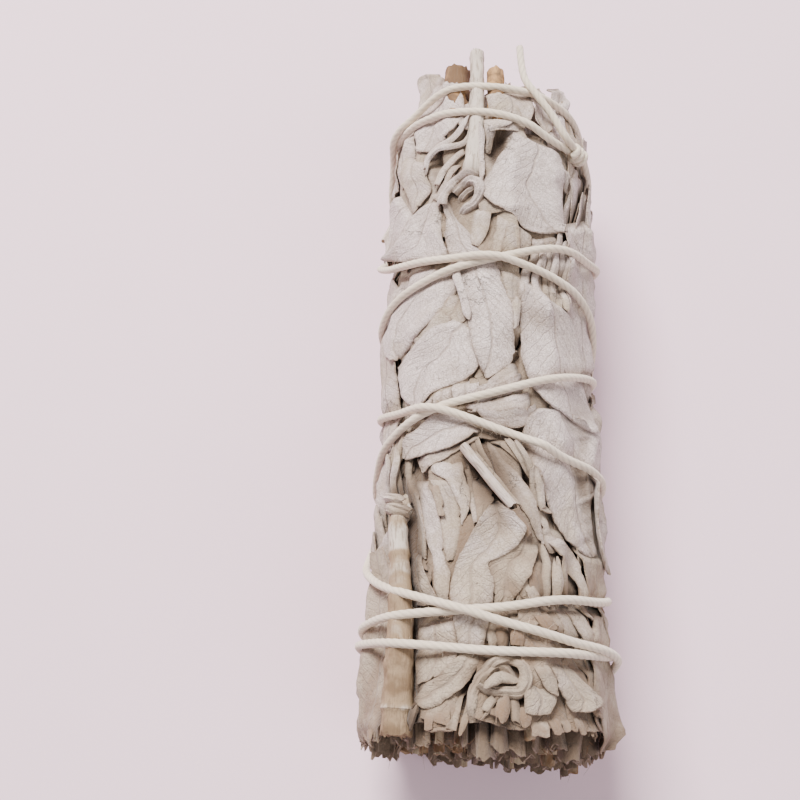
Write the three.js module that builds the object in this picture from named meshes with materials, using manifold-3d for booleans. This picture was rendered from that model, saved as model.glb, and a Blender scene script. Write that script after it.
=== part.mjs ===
// Sage bunch: dried leafy sprigs laid side by side, pressed together and bound with one cotton string.
// The bunch lies along Y, its cut end at -Y and its leaf tips at +Y, on a surface at z = 0. Millimetres.
//
// A place on the bunch is written [along, around]: along is in mm from the cut end, and around is in
// degrees from the top of the lying bunch, positive towards +X. "out" is the distance from the centre line.
// Pieces are laid one on the next: a height map of the bunch holds how far out the last piece reaches,
// each new piece is draped over it, and the map is raised by what was laid.

import * as THREE from 'three';
import { mergeVertices } from 'three/addons/utils/BufferGeometryUtils.js';
import Module from 'manifold-3d';

// ---- driving dimensions ------------------------------------------------------------------------------

const LENGTH = 104;            // cut end to leaf tips
const AXIS_HEIGHT = 16.4;      // centre line above the surface it lies on
const GIRTH = [                // [along, outer radius]: flared at the cut end, drawn in at the tips
  [-2, 16.9], [8, 16.8], [20, 16.3], [35, 15.6], [55, 15.5], [72, 15.9],
  [86, 16.0], [94, 15.4], [100, 14.2], [106, 12.6],
];
const ROUND = 16.5;            // mean radius, for turning degrees into mm across
const DEPTH = 2.8;             // how far the packed inside lies below the outer leaves
const LEAF = 0.62;             // leaf thickness
const LIFT = 0.2;              // air between one leaf and the next
const BASE = 2.2;              // length of a leaf's base that bends down to what it grows from
const SUNK = 0.6;              // how deep the base ends in it
const STRIP_BELOW = 4.2;       // a leaf narrower than this is one flat strip, with no midrib row
const GAP = 0.12;              // clearance cut round each piece where another sprig meets it
const STRING_DIAMETER = 1.25;
const SPRIGS = 8;              // leafy sprigs round the outside
const FEET = [[22.5, 5.5], [43.5, 4.8], [69, 7]];   // [along, half length] of the leaves it rests on
const HEART = 5.2;             // radius of the two sprigs in the middle
const FIRST_SPRIG = -84;       // around, degrees, where sprig_01 begins
const FOOT = [0.85, 1.27];     // x and y of the middle of the whole bunch, moved to the origin

// ---- the string: where it lies along the bunch at each station of each turn ---------------------------

const STATIONS = [90, 60, 30, 0, -30, -60, -90, -135, -180, -225];
const TURNS = [
  [88.5, 89.2, 90.6, 93.2, 94.8, 96.2, 96.8, 97.2, 97.5, 98.0],   // from the knot, over the top
  [98.3, 98.6, 98.9, 98.8, 99.6, 97.6, 95.0, 85.0, 79.6, 76.9],   // second turn at the top, then down
  [74.5, 72.0, 70.8, 68.1, 66.5, 65.0, 62.8, 60.5, 58.5, 56.5],
  [55.0, 53.0, 50.3, 47.2, 45.0, 42.8, 40.6, 34.6, 28.4, 24.4],
  [21.8, 20.0, 19.0, 17.3, 16.6, 16.3, 15.8, 15.2, 14.6, 14.2],
  [13.9, 12.8, 12.2, 11.9, 12.4, 13.2, 13.6, 12.8, 11.6, 11.2],   // the tie near the cut end, then up
  [11.8, 13.2, 13.9, 15.6, 18.2, 21.0, 25.0, 33.4, 35.6, 36.8],
  [37.8, 38.5, 39.2, 41.8, 44.6, 46.2, 48.0, 50.5, 53.5, 56.9],
  [60.0, 64.0, 66.2, 67.6, 68.6, 70.4, 74.0, 84.2, 86.6, 87.6],   // back up to the knot
];
const KNOT = [90.3, 50];
const KNOT_RADIUS = 1.7;
const TAIL = [                 // [along, around, out beyond the leaves] from the knot to the free end
  [91.6, 40, 0.9], [92.8, 28, 0.6], [95, 19, 0.6], [98.4, 14, 1.2], [102.5, 12.5, 3.4], [106, 12, 5.6],
];

// ---- loose stems: bare woody stems tucked in among the sprigs -----------------------------------------

// name, route, radius at each end of the route
const TOP_STEMS = [            // laid last, over the leaves
  ['woody_stem_front', [[1.8, -47.5], [15, -46], [29, -49]], 2.2, 1.25],
  ['woody_stem_top', [[107, -12], [95, -13.8], [82.5, -16.5]], 1.15, 1.25],
];
const DEEP_STEMS = [           // laid under the leaves
  ['stem_stub_brown', [[104.6, -30], [92, -27]], 1.7, 1.7],
  ['stem_stub_tan', [[103.6, -2.5], [91, -1.5]], 1.2, 1.1],
  ['woody_stem_side', [[3, 84], [30, 80], [54, 83]], 1.7, 1.1],
  ['woody_stem_back', [[2.4, 226], [40, 232], [84, 228]], 1.9, 1.2],
];

// ---- leaves laid by hand ------------------------------------------------------------------------------
// shape, route from base to tip [along, around], greatest width in mm

const UNDER_LEAVES = [
  // beside the woody stem, and the long strips of the lower half
  ['strip', [[0.5, -74], [14, -70], [30, -67]], 3.4],
  ['strip', [[46, -61], [35, -55]], 1.6],
  ['strip', [[45, -56], [34, -52]], 1.5],
  ['strip', [[35, -60], [30, -56], [24, -57]], 2.2],
  ['blade', [[29.5, -45], [22, -38], [11, -29]], 5.4],
  ['strip', [[39, -48], [31, -41], [19, -32]], 3.4],
  ['strip', [[38, -31], [29, -23], [18, -27]], 3.2],
  ['blade', [[39, -26], [33, -19], [25.5, -17]], 3.6],
  ['strip', [[39, -16], [27, -12]], 1.6],
  ['plate', [[40, -8], [27, -7]], 3.8],
  ['strip', [[42, 2], [35, 14]], 2.0],
  ['strip', [[26, 17], [20, 20], [13, 26]], 2.0],
  ['strip', [[25, 25], [17, 29], [11, 34]], 2.0],
  ['strip', [[27, 31], [20, 36], [13, 43]], 2.4],
  ['plate', [[21, 49], [13, 58]], 4.6],
  ['blade', [[41, 50], [32, 54], [24.5, 56]], 4.4],
  ['blade', [[14, -24], [8, -35]], 4.6],
  ['plate', [[9.5, -24], [2.4, -24]], 4.2],
  ['strip', [[6.5, -37.5], [2.6, -37.5]], 1.8],
  ['strip', [[7, 7], [2.2, 7]], 1.5],
  ['plate', [[9.5, 16], [3.6, 18]], 4.2],
  ['strip', [[14.5, 16], [10, 20], [6.8, 25.5]], 2.0],
  ['strip', [[12.5, 11], [8, 17], [5.2, 24.5]], 2.8],
  ['strip', [[16, 33], [12, 40], [8.6, 48]], 2.6],
  ['blade', [[13.5, 20], [9, 31], [5.8, 43]], 4.4],
  ['strip', [[12, 57], [5, 60]], 2.4],
  ['strip', [[5.5, 30.5], [2.2, 30.5]], 1.9],
  ['plate', [[5, 12], [1.6, 12]], 3.6],
  // slips that show between the big leaves
  ['plate', [[44.6, -35], [49, -29]], 2.8],
  ['plate', [[46, -23], [50, -17]], 3.0],
  ['plate', [[43.4, -8], [43.4, 10], [45.2, 27]], 3.4],
  ['plate', [[45.4, -16], [45.6, 5], [47.8, 22]], 3.2],
  ['plate', [[46.5, -20], [49.2, -2], [52.2, 14]], 3.0],
  ['plate', [[64, -25], [57, -23]], 3.6],
  ['strip', [[75, 22], [66, 16], [58, 13]], 1.7],
  ['strip', [[74, 33], [67, 26], [60, 30]], 1.8],
  ['strip', [[73, 39], [66, 33], [59, 37]], 2.0],
  ['plate', [[67, 9], [60, 7]], 3.2],
  ['strip', [[72, 54], [56, 58]], 3.0],
  ['plate', [[77, 8], [66, 9]], 4.8],
  ['strip', [[77, -5], [67, -8]], 2.0],
  ['strip', [[80, -7], [75, -9], [69, -14]], 2.1],
  ['strip', [[89, -20], [84, -27], [77, -31]], 1.8],
  ['plate', [[97, 4], [88, -1], [84, -4]], 4.8],
  ['strip', [[100, 25], [88, 27]], 2.8],
  ['strip', [[100, 34], [87, 34]], 3.2],
  ['strip', [[100, 46], [82, 52]], 3.2],
  ['strip', [[98, 57], [76, 60]], 3.4],
];

const OVER_LEAVES = [
  ['strip', [[36.6, -44], [38.8, -25], [41.4, -5]], 2.2],
  ['blade', [[43.8, -3], [41.8, -28], [39.6, -52]], 5.6],
  ['blade', [[42, -7], [34, 6], [25.5, 21]], 3.2],
  ['twig', [[40, -19], [34.5, -7], [31, 7.5]], 1.6],
  ['plate', [[29.5, 9.5], [23, 6], [17.6, 3]], 5.6],
  ['blade', [[31.6, 1], [24, -9], [15, -12], [9, -20], [6, -37]], 5.4],
  ['twig', [[3.4, -12.5], [7, -11], [10.2, -5], [11.2, 3], [9.6, 9.5], [7, 9], [6, 1], [4.4, -5]], 1.5],
  ['shield', [[49, 35], [38, 37], [31, 44], [24.4, 48.5]], 12],
  ['blade', [[94, -74], [84, -68], [74.5, -71]], 10.5],
  ['plate', [[74.8, -29], [74.8, -50], [73.6, -73]], 9.6],
  ['blade', [[93, -45], [85, -47], [78, -50.5]], 5.2],
  ['strip', [[86.8, -57], [87.6, -40], [92, -21]], 1.9],
  ['blade', [[101, -33], [95, -36], [88, -43]], 9],
  ['twig', [[82, -13], [81.6, -21], [78, -27], [74.6, -27]], 1.5],
  ['strip', [[80.4, -13], [79.6, -20], [76.6, -26]], 2.0],
  ['blade', [[77, -17], [72, -21]], 2.8],
  ['blade', [[63.5, -22], [60.5, -45], [58.5, -71]], 8],
  ['blade', [[57.4, -11], [54, -34], [50.6, -62]], 10],
  ['plate', [[61.4, 31], [54, 34], [46, 38]], 12.8],
  ['stalked', [[83, -28], [76.5, -26.5], [69, -20], [59, -11], [49.4, -6]], 8.2],
  ['plate', [[93, 14], [84, 13], [74, 15]], 13.4],
  ['strip', [[90, 43], [80, 43], [69, 43]], 4.0],
  ['twig', [[92, -9.5], [81, -8.6]], 1.0],
];

// ---- the rest of the bunch, laid by rule ---------------------------------------------------------------

const SEED = 4711;
const SIDE_FROM = 62;          // around, where the rule takes over from the leaves laid by hand
const SIDE_TO = 360 - 76;
const INNER_STRIPS = 8;        // long leaves folded lengthwise, all round, under everything
const ROWS = [9, 27, 45, 63, 81, 96];   // along, middle of each row of broad leaves
const BROAD_PER_ROW = 5;
const SLIPS = 12;              // narrow leaves and stalks on and between the broad ones

// mulberry32: the same row of numbers from 0 to 1 each time
function numbersFrom(seed) {
  let state = seed >>> 0;
  return () => {
    state = (state + 0x6d2b79f5) >>> 0;
    let t = state;
    t = Math.imul(t ^ (t >>> 15), t | 1);
    t ^= t + Math.imul(t ^ (t >>> 7), t | 61);
    return ((t ^ (t >>> 14)) >>> 0) / 4294967296;
  };
}
const random = numbersFrom(SEED);
const between = (low, high) => low + (high - low) * random();

function innerStrips() {
  const laid = [];
  for (let i = 0; i < INNER_STRIPS; i++) {
    const around = (360 * i) / INNER_STRIPS + between(-4, 4);
    const middle = i % 2 ? between(24, 36) : between(68, 80);
    const half = between(24, 30);
    const lean = between(-9, 9);
    const from = Math.max(0.4, middle - half);
    const to = Math.min(LENGTH - 2, middle + half);
    laid.push(['strip', [[from, around - lean], [middle, around + between(-3, 3)], [to, around + lean]],
      between(2.6, 3.8)]);
  }
  return laid;
}

function broadLeaves() {
  const laid = [];
  for (const row of ROWS) {
    for (let k = 0; k < BROAD_PER_ROW; k++) {
      const step = (SIDE_TO - SIDE_FROM) / BROAD_PER_ROW;
      const around = SIDE_FROM + step * (k + 0.5) + between(-9, 9);
      const along = row + between(-5, 5);
      const half = between(10, 16);
      const lean = between(-26, 26);
      const shape = random() < 0.6 ? 'blade' : 'plate';
      const tip = Math.min(LENGTH - 1, along + half);
      const base = Math.max(1, along - half);
      laid.push([shape, [[base, around - lean], [along, around + between(-4, 4)], [tip, around + lean]],
        between(6.5, 11)]);
    }
  }
  return laid;
}

function slips() {
  const laid = [];
  for (let i = 0; i < SLIPS; i++) {
    const out = between(4, 64);
    const around = i % 2 ? SIDE_FROM + out : SIDE_TO - out;
    const along = 6 + ((i * 0.618) % 1) * (LENGTH - 16);
    const half = between(5, 11);
    const lean = between(-14, 14);
    const shape = random() < 0.75 ? 'strip' : 'twig';
    const width = shape === 'twig' ? between(1.1, 1.7) : between(1.8, 3.2);
    laid.push([shape, [[Math.max(1, along - half), around - lean],
      [Math.min(LENGTH - 1, along + half), around + lean]], width]);
  }
  return laid;
}

const footLeaves = () => FEET.map(([middle, half], k) => {
  return ['plate', [[middle - half, 184 - 4 * k], [middle + half, 178 + 4 * k]], 10];
});

// ---- shapes of a leaf: share of its greatest width, from base (0) to tip (1) ---------------------------

const SHAPES = {
  strip: (t) => 0.35 + 0.65 * Math.pow(Math.sin(Math.PI * (0.06 + 0.88 * t)), 0.6),
  blade: (t) => 0.12 + 0.88 * Math.pow(Math.sin(Math.PI * Math.pow(0.02 + 0.96 * t, 0.85)), 0.62),
  plate: (t) => 0.86 + 0.14 * Math.sin(Math.PI * t),
  shield: (t) => 0.04 + 0.96 * Math.sqrt(Math.max(0, 1 - Math.pow(t, 1.5))),
  stalked: (t) => {
    if (t < 0.24) return 0.2 + 0.1 * t;
    return 0.22 + 0.78 * Math.pow(Math.sin(Math.PI * (0.04 + (0.94 * (t - 0.24)) / 0.76)), 0.55);
  },
  twig: () => 1,
};

// ---- the height map -------------------------------------------------------------------------------------

const CELL = 1;                                             // mm
const MAP_FROM = -4;                                        // along, at the first row
const MAP_ROWS = Math.round((LENGTH + 12) / CELL);
const MAP_COLUMNS = Math.round((2 * Math.PI * ROUND) / CELL);

const radians = THREE.MathUtils.degToRad;
const across = (around) => radians(around) * ROUND;         // degrees to mm
const girth = (along) => interpolate(GIRTH, along);

const mix = (p, q, u, key) => p[key] + (q[key] - p[key]) * u;
const STEM_PIECE = -2;         // stands in the map for a stem, which no leaf grows from

function interpolate(table, at) {
  if (at <= table[0][0]) return table[0][1];
  for (let i = 1; i < table.length; i++) {
    const [x0, y0] = table[i - 1];
    const [x1, y1] = table[i];
    if (at <= x1) return y0 + ((y1 - y0) * (at - x0)) / (x1 - x0);
  }
  return table[table.length - 1][1];
}

const wrap = (column) => ((column % MAP_COLUMNS) + MAP_COLUMNS) % MAP_COLUMNS;
const clampRow = (row) => Math.min(MAP_ROWS - 1, Math.max(0, row));

class HeightMap {
  constructor(fill) {
    this.cells = new Float64Array(MAP_ROWS * MAP_COLUMNS);
    this.laid = new Int16Array(MAP_ROWS * MAP_COLUMNS).fill(-1);
    for (let i = 0; i < MAP_ROWS; i++) {
      for (let j = 0; j < MAP_COLUMNS; j++) this.cells[i * MAP_COLUMNS + j] = fill(MAP_FROM + i * CELL);
    }
  }

  at(along, sideways) {
    const x = (along - MAP_FROM) / CELL;
    const y = (sideways / (2 * Math.PI * ROUND)) * MAP_COLUMNS;
    const i = Math.floor(x);
    const j = Math.floor(y);
    const u = x - i;
    const v = y - j;
    const cell = (a, b) => this.cells[clampRow(a) * MAP_COLUMNS + wrap(b)];
    return (1 - u) * ((1 - v) * cell(i, j) + v * cell(i, j + 1))
      + u * ((1 - v) * cell(i + 1, j) + v * cell(i + 1, j + 1));
  }

  cell(along, sideways) {
    const i = clampRow(Math.round((along - MAP_FROM) / CELL));
    return i * MAP_COLUMNS + wrap(Math.round((sideways / (2 * Math.PI * ROUND)) * MAP_COLUMNS));
  }

  raise(along, sideways, out, piece) {
    const k = this.cell(along, sideways);
    if (this.cells[k] >= out) return;
    this.cells[k] = out;
    this.laid[k] = piece;
  }

  // Each cell becomes the mean of the cells within reach, along and then around.
  smoothed(reach, passes) {
    const made = new HeightMap(() => 0);
    made.cells.set(this.cells);
    for (let p = 0; p < passes; p++) {
      for (const [di, dj] of [[1, 0], [0, 1]]) {
        const from = Float64Array.from(made.cells);
        for (let i = 0; i < MAP_ROWS; i++) {
          for (let j = 0; j < MAP_COLUMNS; j++) {
            let sum = 0;
            for (let k = -reach; k <= reach; k++) {
              sum += from[clampRow(i + k * di) * MAP_COLUMNS + wrap(j + k * dj)];
            }
            made.cells[i * MAP_COLUMNS + j] = sum / (2 * reach + 1);
          }
        }
      }
    }
    return made;
  }
}

// How high the laid pieces stand within a small square round a place.
function bedAt(along, sideways, reach) {
  let top = 0;
  for (let a = -reach; a <= reach; a += reach) {
    for (let b = -reach; b <= reach; b += reach) top = Math.max(top, map.at(along + a, sideways + b));
  }
  return top;
}

// ---- laying pieces --------------------------------------------------------------------------------------

function routeOf(points) {
  const plane = points.map(([along, around]) => new THREE.Vector3(along, across(around), 0));
  return new THREE.CatmullRomCurve3(plane, false, 'centripetal');
}

const packed = new HeightMap((along) => girth(along) - DEPTH);
const map = new HeightMap((along) => girth(along) - DEPTH);

// A piece is a grid of places: for each, along, sideways, and how far out its top and its underside lie.
// Its first row, the base of the leaf, is sunk into the piece that it lies on and grows from.
function layPiece(order, shape, points, width) {
  const route = routeOf(points);
  const length = route.getLength();
  const narrow = width < STRIP_BELOW;
  const rows = 1 + Math.max(1, Math.min(6, Math.round(length / (narrow ? 9 : 7))));
  const columns = narrow ? 1 : 2;
  const thick = narrow ? LEAF + 0.06 * width : LEAF;
  const wave = random() * 6;
  const grid = [];
  for (let i = 0; i <= rows; i++) {
    const t = i === 0 ? 0 : Math.min(1, BASE / length + ((1 - BASE / length) * (i - 1)) / (rows - 1));
    const here = route.getPointAt(t);
    const ahead = route.getTangentAt(t);
    const full = SHAPES[shape](t) * (1 + 0.08 * Math.sin(wave + i * 2.2));
    const half = Math.max(0.35, (width / 2) * full * (i === 0 ? 0.5 : 1));
    const row = [];
    for (let j = 0; j <= columns; j++) {
      const w = (2 * j) / columns - 1;
      const ragged = i === rows ? 0.06 * width * Math.sin(wave * 3 + j * 2.6) : 0;
      const along = here.x - ahead.y * w * half + ahead.x * ragged;
      const sideways = here.y + ahead.x * w * half + ahead.y * ragged;
      const sag = Math.pow((2 * half) / columns, 2) / (8 * ROUND);
      const reach = length / rows / 2;
      const [x, y] = [ahead.x * reach, ahead.y * reach];
      const bed = Math.max(bedAt(along, sideways, 1), bedAt(along + x, sideways + y, 1),
        bedAt(along - x, sideways - y, 1), bedAt(along + x / 2, sideways + y / 2, 1),
        bedAt(along - x / 2, sideways - y / 2, 1));
      row.push({ along, sideways, w, bed: bed + sag });
    }
    grid.push(row);
  }
  // A leaf bends only gently, so each place also takes part of its neighbours' bed.
  for (let i = 0; i <= rows; i++) {
    for (let j = 0; j <= columns; j++) {
      const near = [grid[i - 1]?.[j], grid[i + 1]?.[j], grid[i][j - 1], grid[i][j + 1]].filter(Boolean);
      const mean = near.reduce((sum, c) => sum + c.bed, 0) / near.length;
      const c = grid[i][j];
      c.under = Math.max(c.bed, 0.5 * (c.bed + mean)) + LIFT;
      c.top = c.under + thick;
    }
  }
  const start = route.getPointAt(0);
  const parent = map.laid[map.cell(start.x, start.y)];
  grid[0].forEach((c) => {
    c.under = map.at(start.x, start.y) - SUNK;
    c.top = c.under + thick;
  });
  for (let i = 0; i < rows; i++) {
    for (let j = 0; j < columns; j++) {
      raiseUnder(grid[i][j], grid[i + 1][j], grid[i][j + 1], grid[i + 1][j + 1], order);
    }
  }
  return { order, shape, grid, rows, columns, parent };
}
// Raises the map under one four-cornered patch of a piece.
function raiseUnder(a, b, c, d, piece) {
  const steps = 8;
  for (let p = 0; p <= steps; p++) {
    for (let q = 0; q <= steps; q++) {
      const u = p / steps;
      const v = q / steps;
      const [along, sideways, top] = ['along', 'sideways', 'top'].map((key) => {
        return (1 - v) * mix(a, b, u, key) + v * mix(c, d, u, key);
      });
      map.raise(along, sideways, top, piece);
    }
  }
}

// A straight stiff stem: it lies on the leaves under it, a little sunk between them.
function layStem(name, points, r0, r1) {
  const route = routeOf(points);
  const steps = Math.max(4, Math.round(route.getLength() / 8));
  const places = [];
  for (let i = 0; i <= steps; i++) {
    const here = route.getPointAt(i / steps);
    const radius = r0 + ((r1 - r0) * i) / steps;
    places.push({ along: here.x, sideways: here.y, radius, bed: bedAt(here.x, here.y, 1.5) });
  }
  const lineOut = straightOver(places);
  places.forEach((p, i) => { p.out = lineOut[i]; });
  for (let i = 0; i < steps; i++) {
    const [a, b] = [places[i], places[i + 1]];
    for (let u = 0; u <= 1; u += 0.1) {
      for (let w = -0.99; w <= 1; w += 0.2) {
        const r = mix(a, b, u, 'radius');
        const out = mix(a, b, u, 'out') + r * Math.sqrt(1 - w * w);
        map.raise(mix(a, b, u, 'along'), mix(a, b, u, 'sideways') + w * r, out, STEM_PIECE);
      }
    }
  }
  return { name, places };
}

// The centre of a stem: a least-squares straight line through its bed, raised by part of its radius.
function straightOver(places) {
  const n = places.length;
  const mx = places.reduce((s, p) => s + p.along, 0) / n;
  const my = places.reduce((s, p) => s + p.bed + p.radius * 0.35, 0) / n;
  const top = places.reduce((s, p) => s + (p.along - mx) * (p.bed + p.radius * 0.35 - my), 0);
  const low = places.reduce((s, p) => s + (p.along - mx) ** 2, 0);
  const slope = THREE.MathUtils.clamp(top / low, -0.05, 0.05);
  return places.map((p) => my + slope * (p.along - mx));
}

let order = 0;
const layStems = (list) => list.map(([name, points, r0, r1]) => layStem(name, points, r0, r1));
const lay = (list) => list.map(([shape, points, width]) => layPiece(order++, shape, points, width));
const leaves = lay(innerStrips());
const stemsLaid = layStems(DEEP_STEMS);
leaves.push(...lay(UNDER_LEAVES), ...lay(broadLeaves()), ...lay(slips()), ...lay(OVER_LEAVES));
leaves.push(...lay(footLeaves()));
stemsLaid.push(...layStems(TOP_STEMS));

// Pressing: the whole stack is moved in or out so that its mean surface has the bunch's girth, and so
// that nothing reaches below the surface it lies on.
const meanHeight = map.smoothed(3, 3);
const level = (along, sideways) => girth(along) - meanHeight.at(along, sideways) + 0.25;

// Between the feet the leaves keep clear of the surface, to leave room for the string.
function floorOut(along, sideways) {
  const down = -Math.cos(sideways / ROUND);
  if (down < 0.2) return Infinity;
  const foot = Math.max(...FEET.map(([middle, half]) => {
    return 1 - THREE.MathUtils.smoothstep(Math.abs(along - middle), half, half + 3);
  }));
  return (AXIS_HEIGHT - (1 - foot) * (STRING_DIAMETER + 0.25)) / down;
}

function pressed(along, sideways, out) {
  const moved = level(along, sideways);
  const over = Math.max(0, map.at(along, sideways) + moved - floorOut(along, sideways));
  return out + moved - over;
}

const surfaceAt = (along, sideways) => pressed(along, sideways, map.at(along, sideways));

function place(along, sideways, out) {
  const a = sideways / ROUND;
  return new THREE.Vector3(out * Math.sin(a) - FOOT[0], along - LENGTH / 2 - FOOT[1],
    AXIS_HEIGHT + out * Math.cos(a));
}

// ---- solids ---------------------------------------------------------------------------------------------

const wasm = await Module();
wasm.setup();

// A closed geometry as a solid, with its faces turned out.
function solidOf(geometry) {
  const bare = geometry.index ? geometry.toNonIndexed() : geometry.clone();
  const points = new THREE.BufferGeometry().setAttribute('position', bare.getAttribute('position'));
  const merged = mergeVertices(points, 1e-4);
  const index = merged.index.array;
  const kept = [];
  for (let i = 0; i < index.length; i += 3) {
    const [a, b, c] = [index[i], index[i + 1], index[i + 2]];
    if (a !== b && b !== c && c !== a) kept.push(a, b, c);
  }
  const made = () => new wasm.Manifold(new wasm.Mesh({
    numProp: 3,
    vertProperties: merged.attributes.position.array,
    triVerts: new Uint32Array(kept),
  }));
  if (made().volume() > 0) return made();
  for (let i = 0; i < kept.length; i += 3) [kept[i + 1], kept[i + 2]] = [kept[i + 2], kept[i + 1]];
  return made();
}

function geometryOf(solid) {
  const mesh = solid.getMesh();
  const n = mesh.numProp;
  const points = new Float32Array(mesh.numVert * 3);
  for (let i = 0; i < mesh.numVert; i++) points.set(mesh.vertProperties.subarray(i * n, i * n + 3), i * 3);
  const geometry = new THREE.BufferGeometry();
  geometry.setAttribute('position', new THREE.BufferAttribute(points, 3));
  geometry.setIndex(new THREE.BufferAttribute(new Uint32Array(mesh.triVerts), 1));
  geometry.computeVertexNormals();
  return geometry;
}

// A box divided into rows and columns, each corner moved to where the function puts it:
// x runs 0 to 1 along the piece, y 0 to 1 across it, and upper says which face.
function movedBox(rows, columns, move) {
  const box = new THREE.BoxGeometry(1, 1, 1, rows, columns, 1);
  const points = box.getAttribute('position');
  for (let i = 0; i < points.count; i++) {
    const row = Math.round((points.getX(i) + 0.5) * rows);
    const column = Math.round((points.getY(i) + 0.5) * columns);
    points.setXYZ(i, ...move(row, column, points.getZ(i) > 0).toArray());
  }
  box.deleteAttribute('normal');
  box.deleteAttribute('uv');
  return box;
}

// One leaf, or with a margin the room that it needs.
function leafSolid(leaf, margin) {
  const { grid, rows, columns } = leaf;
  return solidOf(movedBox(rows, columns, (i, j, upper) => {
    const c = grid[i][j];
    const [next, last] = [grid[Math.min(i + 1, rows)][j], grid[Math.max(i - 1, 0)][j]];
    const run = Math.hypot(next.along - last.along, next.sideways - last.sideways) || 1;
    const end = i === 0 ? -margin : i === rows ? margin : 0;
    const [ux, uy] = [(next.along - last.along) / run, (next.sideways - last.sideways) / run];
    const along = c.along - uy * c.w * margin + ux * end;
    const sideways = c.sideways + ux * c.w * margin + uy * end;
    const out = upper ? c.top + margin : c.under - margin;
    return place(along, sideways, pressed(c.along, c.sideways, out));
  }));
}

// At each point a pair of directions square to the path, turned as little as the path allows.
function framesAlong(points) {
  let normal = new THREE.Vector3(0.3, 0.2, 1);
  return points.map((point, i) => {
    const [last, next] = [points[Math.max(0, i - 1)], points[Math.min(points.length - 1, i + 1)]];
    const ahead = next.clone().sub(last).normalize();
    normal = normal.clone().addScaledVector(ahead, -normal.dot(ahead)).normalize();
    return { normal, binormal: ahead.clone().cross(normal) };
  });
}

// A tube through the points, with a radius at each.
function tubeSolid(points, radii, sides) {
  const steps = points.length - 1;
  const ring = new THREE.Shape();
  for (let k = 0; k < sides; k++) {
    const a = (2 * Math.PI * k) / sides;
    const [x, y] = [Math.cos(a), Math.sin(a)];
    if (k === 0) ring.moveTo(x, y);
    else ring.lineTo(x, y);
  }
  const frames = framesAlong(points);
  const tube = new THREE.ExtrudeGeometry(ring, { steps, bevelEnabled: false, depth: 1, curveSegments: 1 });
  const at = tube.getAttribute('position');
  for (let i = 0; i < at.count; i++) {
    const step = Math.round(at.getZ(i) * steps);
    const p = points[step].clone()
      .addScaledVector(frames[step].normal, at.getX(i) * radii[step])
      .addScaledVector(frames[step].binormal, at.getY(i) * radii[step]);
    at.setXYZ(i, p.x, p.y, p.z);
  }
  return solidOf(tube);
}

// A stem is moved in or out by the level of the leaves round it alone.
function stemOut(p) {
  const top = p.out + p.radius + level(p.along, p.sideways);
  return Math.min(top, floorOut(p.along, p.sideways)) - p.radius;
}

function stemSolid(stem, margin) {
  const points = stem.places.map((p) => place(p.along, p.sideways, stemOut(p)));
  const [first, last] = [points[0], points[points.length - 1]];
  const outward = margin * Math.sign(first.y - last.y);
  first.y += outward;
  last.y -= outward;
  return tubeSolid(points, stem.places.map((p) => p.radius + margin), 8);
}

// The packed inside of one sprig: a slice of the bunch, cut off unevenly at both ends.
const INSIDE_ROWS = 6;
const INSIDE_COLUMNS = 2;

function insideSolid(from, to) {
  const jitter = numbersFrom(SEED + Math.round(from));
  const ends = Array.from({ length: 2 * (INSIDE_COLUMNS + 1) * 2 }, () => jitter());
  return solidOf(movedBox(INSIDE_ROWS, INSIDE_COLUMNS, (i, j, upper) => {
    const t = i / INSIDE_ROWS;
    let along = 1.6 + t * (LENGTH - 4.6);
    const k = j * 2 + (upper ? 1 : 0);
    if (i === 0) along -= 1.4 * ends[k];
    if (i === INSIDE_ROWS) along += 2.4 * ends[ends.length / 2 + k] - (upper ? 1.5 : 0);
    const slack = GAP / (upper ? ROUND - DEPTH : HEART);
    const a = radians(from) + slack + ((radians(to - from) - 2 * slack) * j) / INSIDE_COLUMNS;
    const sideways = a * ROUND;
    const out = upper ? pressed(along, sideways, packed.at(along, sideways)) : HEART + GAP;
    return place(along, sideways, out);
  }));
}

// One of the two sprigs in the middle of the bunch: half a round bar, cut off unevenly.
function heartSolid(side) {
  const jitter = numbersFrom(SEED + 50 + side);
  const rows = 4;
  const columns = 6;
  const ends = Array.from({ length: 4 * (columns + 1) }, () => jitter());
  return solidOf(movedBox(rows, columns, (i, j, upper) => {
    const k = 4 * j + (upper ? 2 : 0);
    let along = (i * LENGTH) / rows;
    if (i === 0) along = 0.4 + 1.6 * ends[k];
    if (i === rows) along = LENGTH - 2.4 + 2 * ends[k + 1];
    const a = Math.PI * (j / columns);
    const r = HEART - GAP;
    const x = side * (GAP + (upper ? Math.max(0.6, r * Math.sin(a)) : 0));
    return new THREE.Vector3(x - FOOT[0], along - LENGTH / 2 - FOOT[1], AXIS_HEIGHT + r * Math.cos(a));
  }));
}

// The stem of a sprig ends among its leaf bases at the cut end, standing out a little.
function sprigStem(middle) {
  const jitter = numbersFrom(SEED + 200 + Math.round(middle));
  const end = -0.4 + 1.5 * jitter();
  const points = [end, end + 5].map((along) => place(along, across(middle), 9.4));
  const r = 1.3 + 0.6 * jitter();
  return tubeSolid(points, [r, r], 6);
}

// ---- the string -----------------------------------------------------------------------------------------

const STRING_STEP = 24;        // degrees from one ring of the string to the next
const HALF = STRING_DIAMETER / 2;

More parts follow.
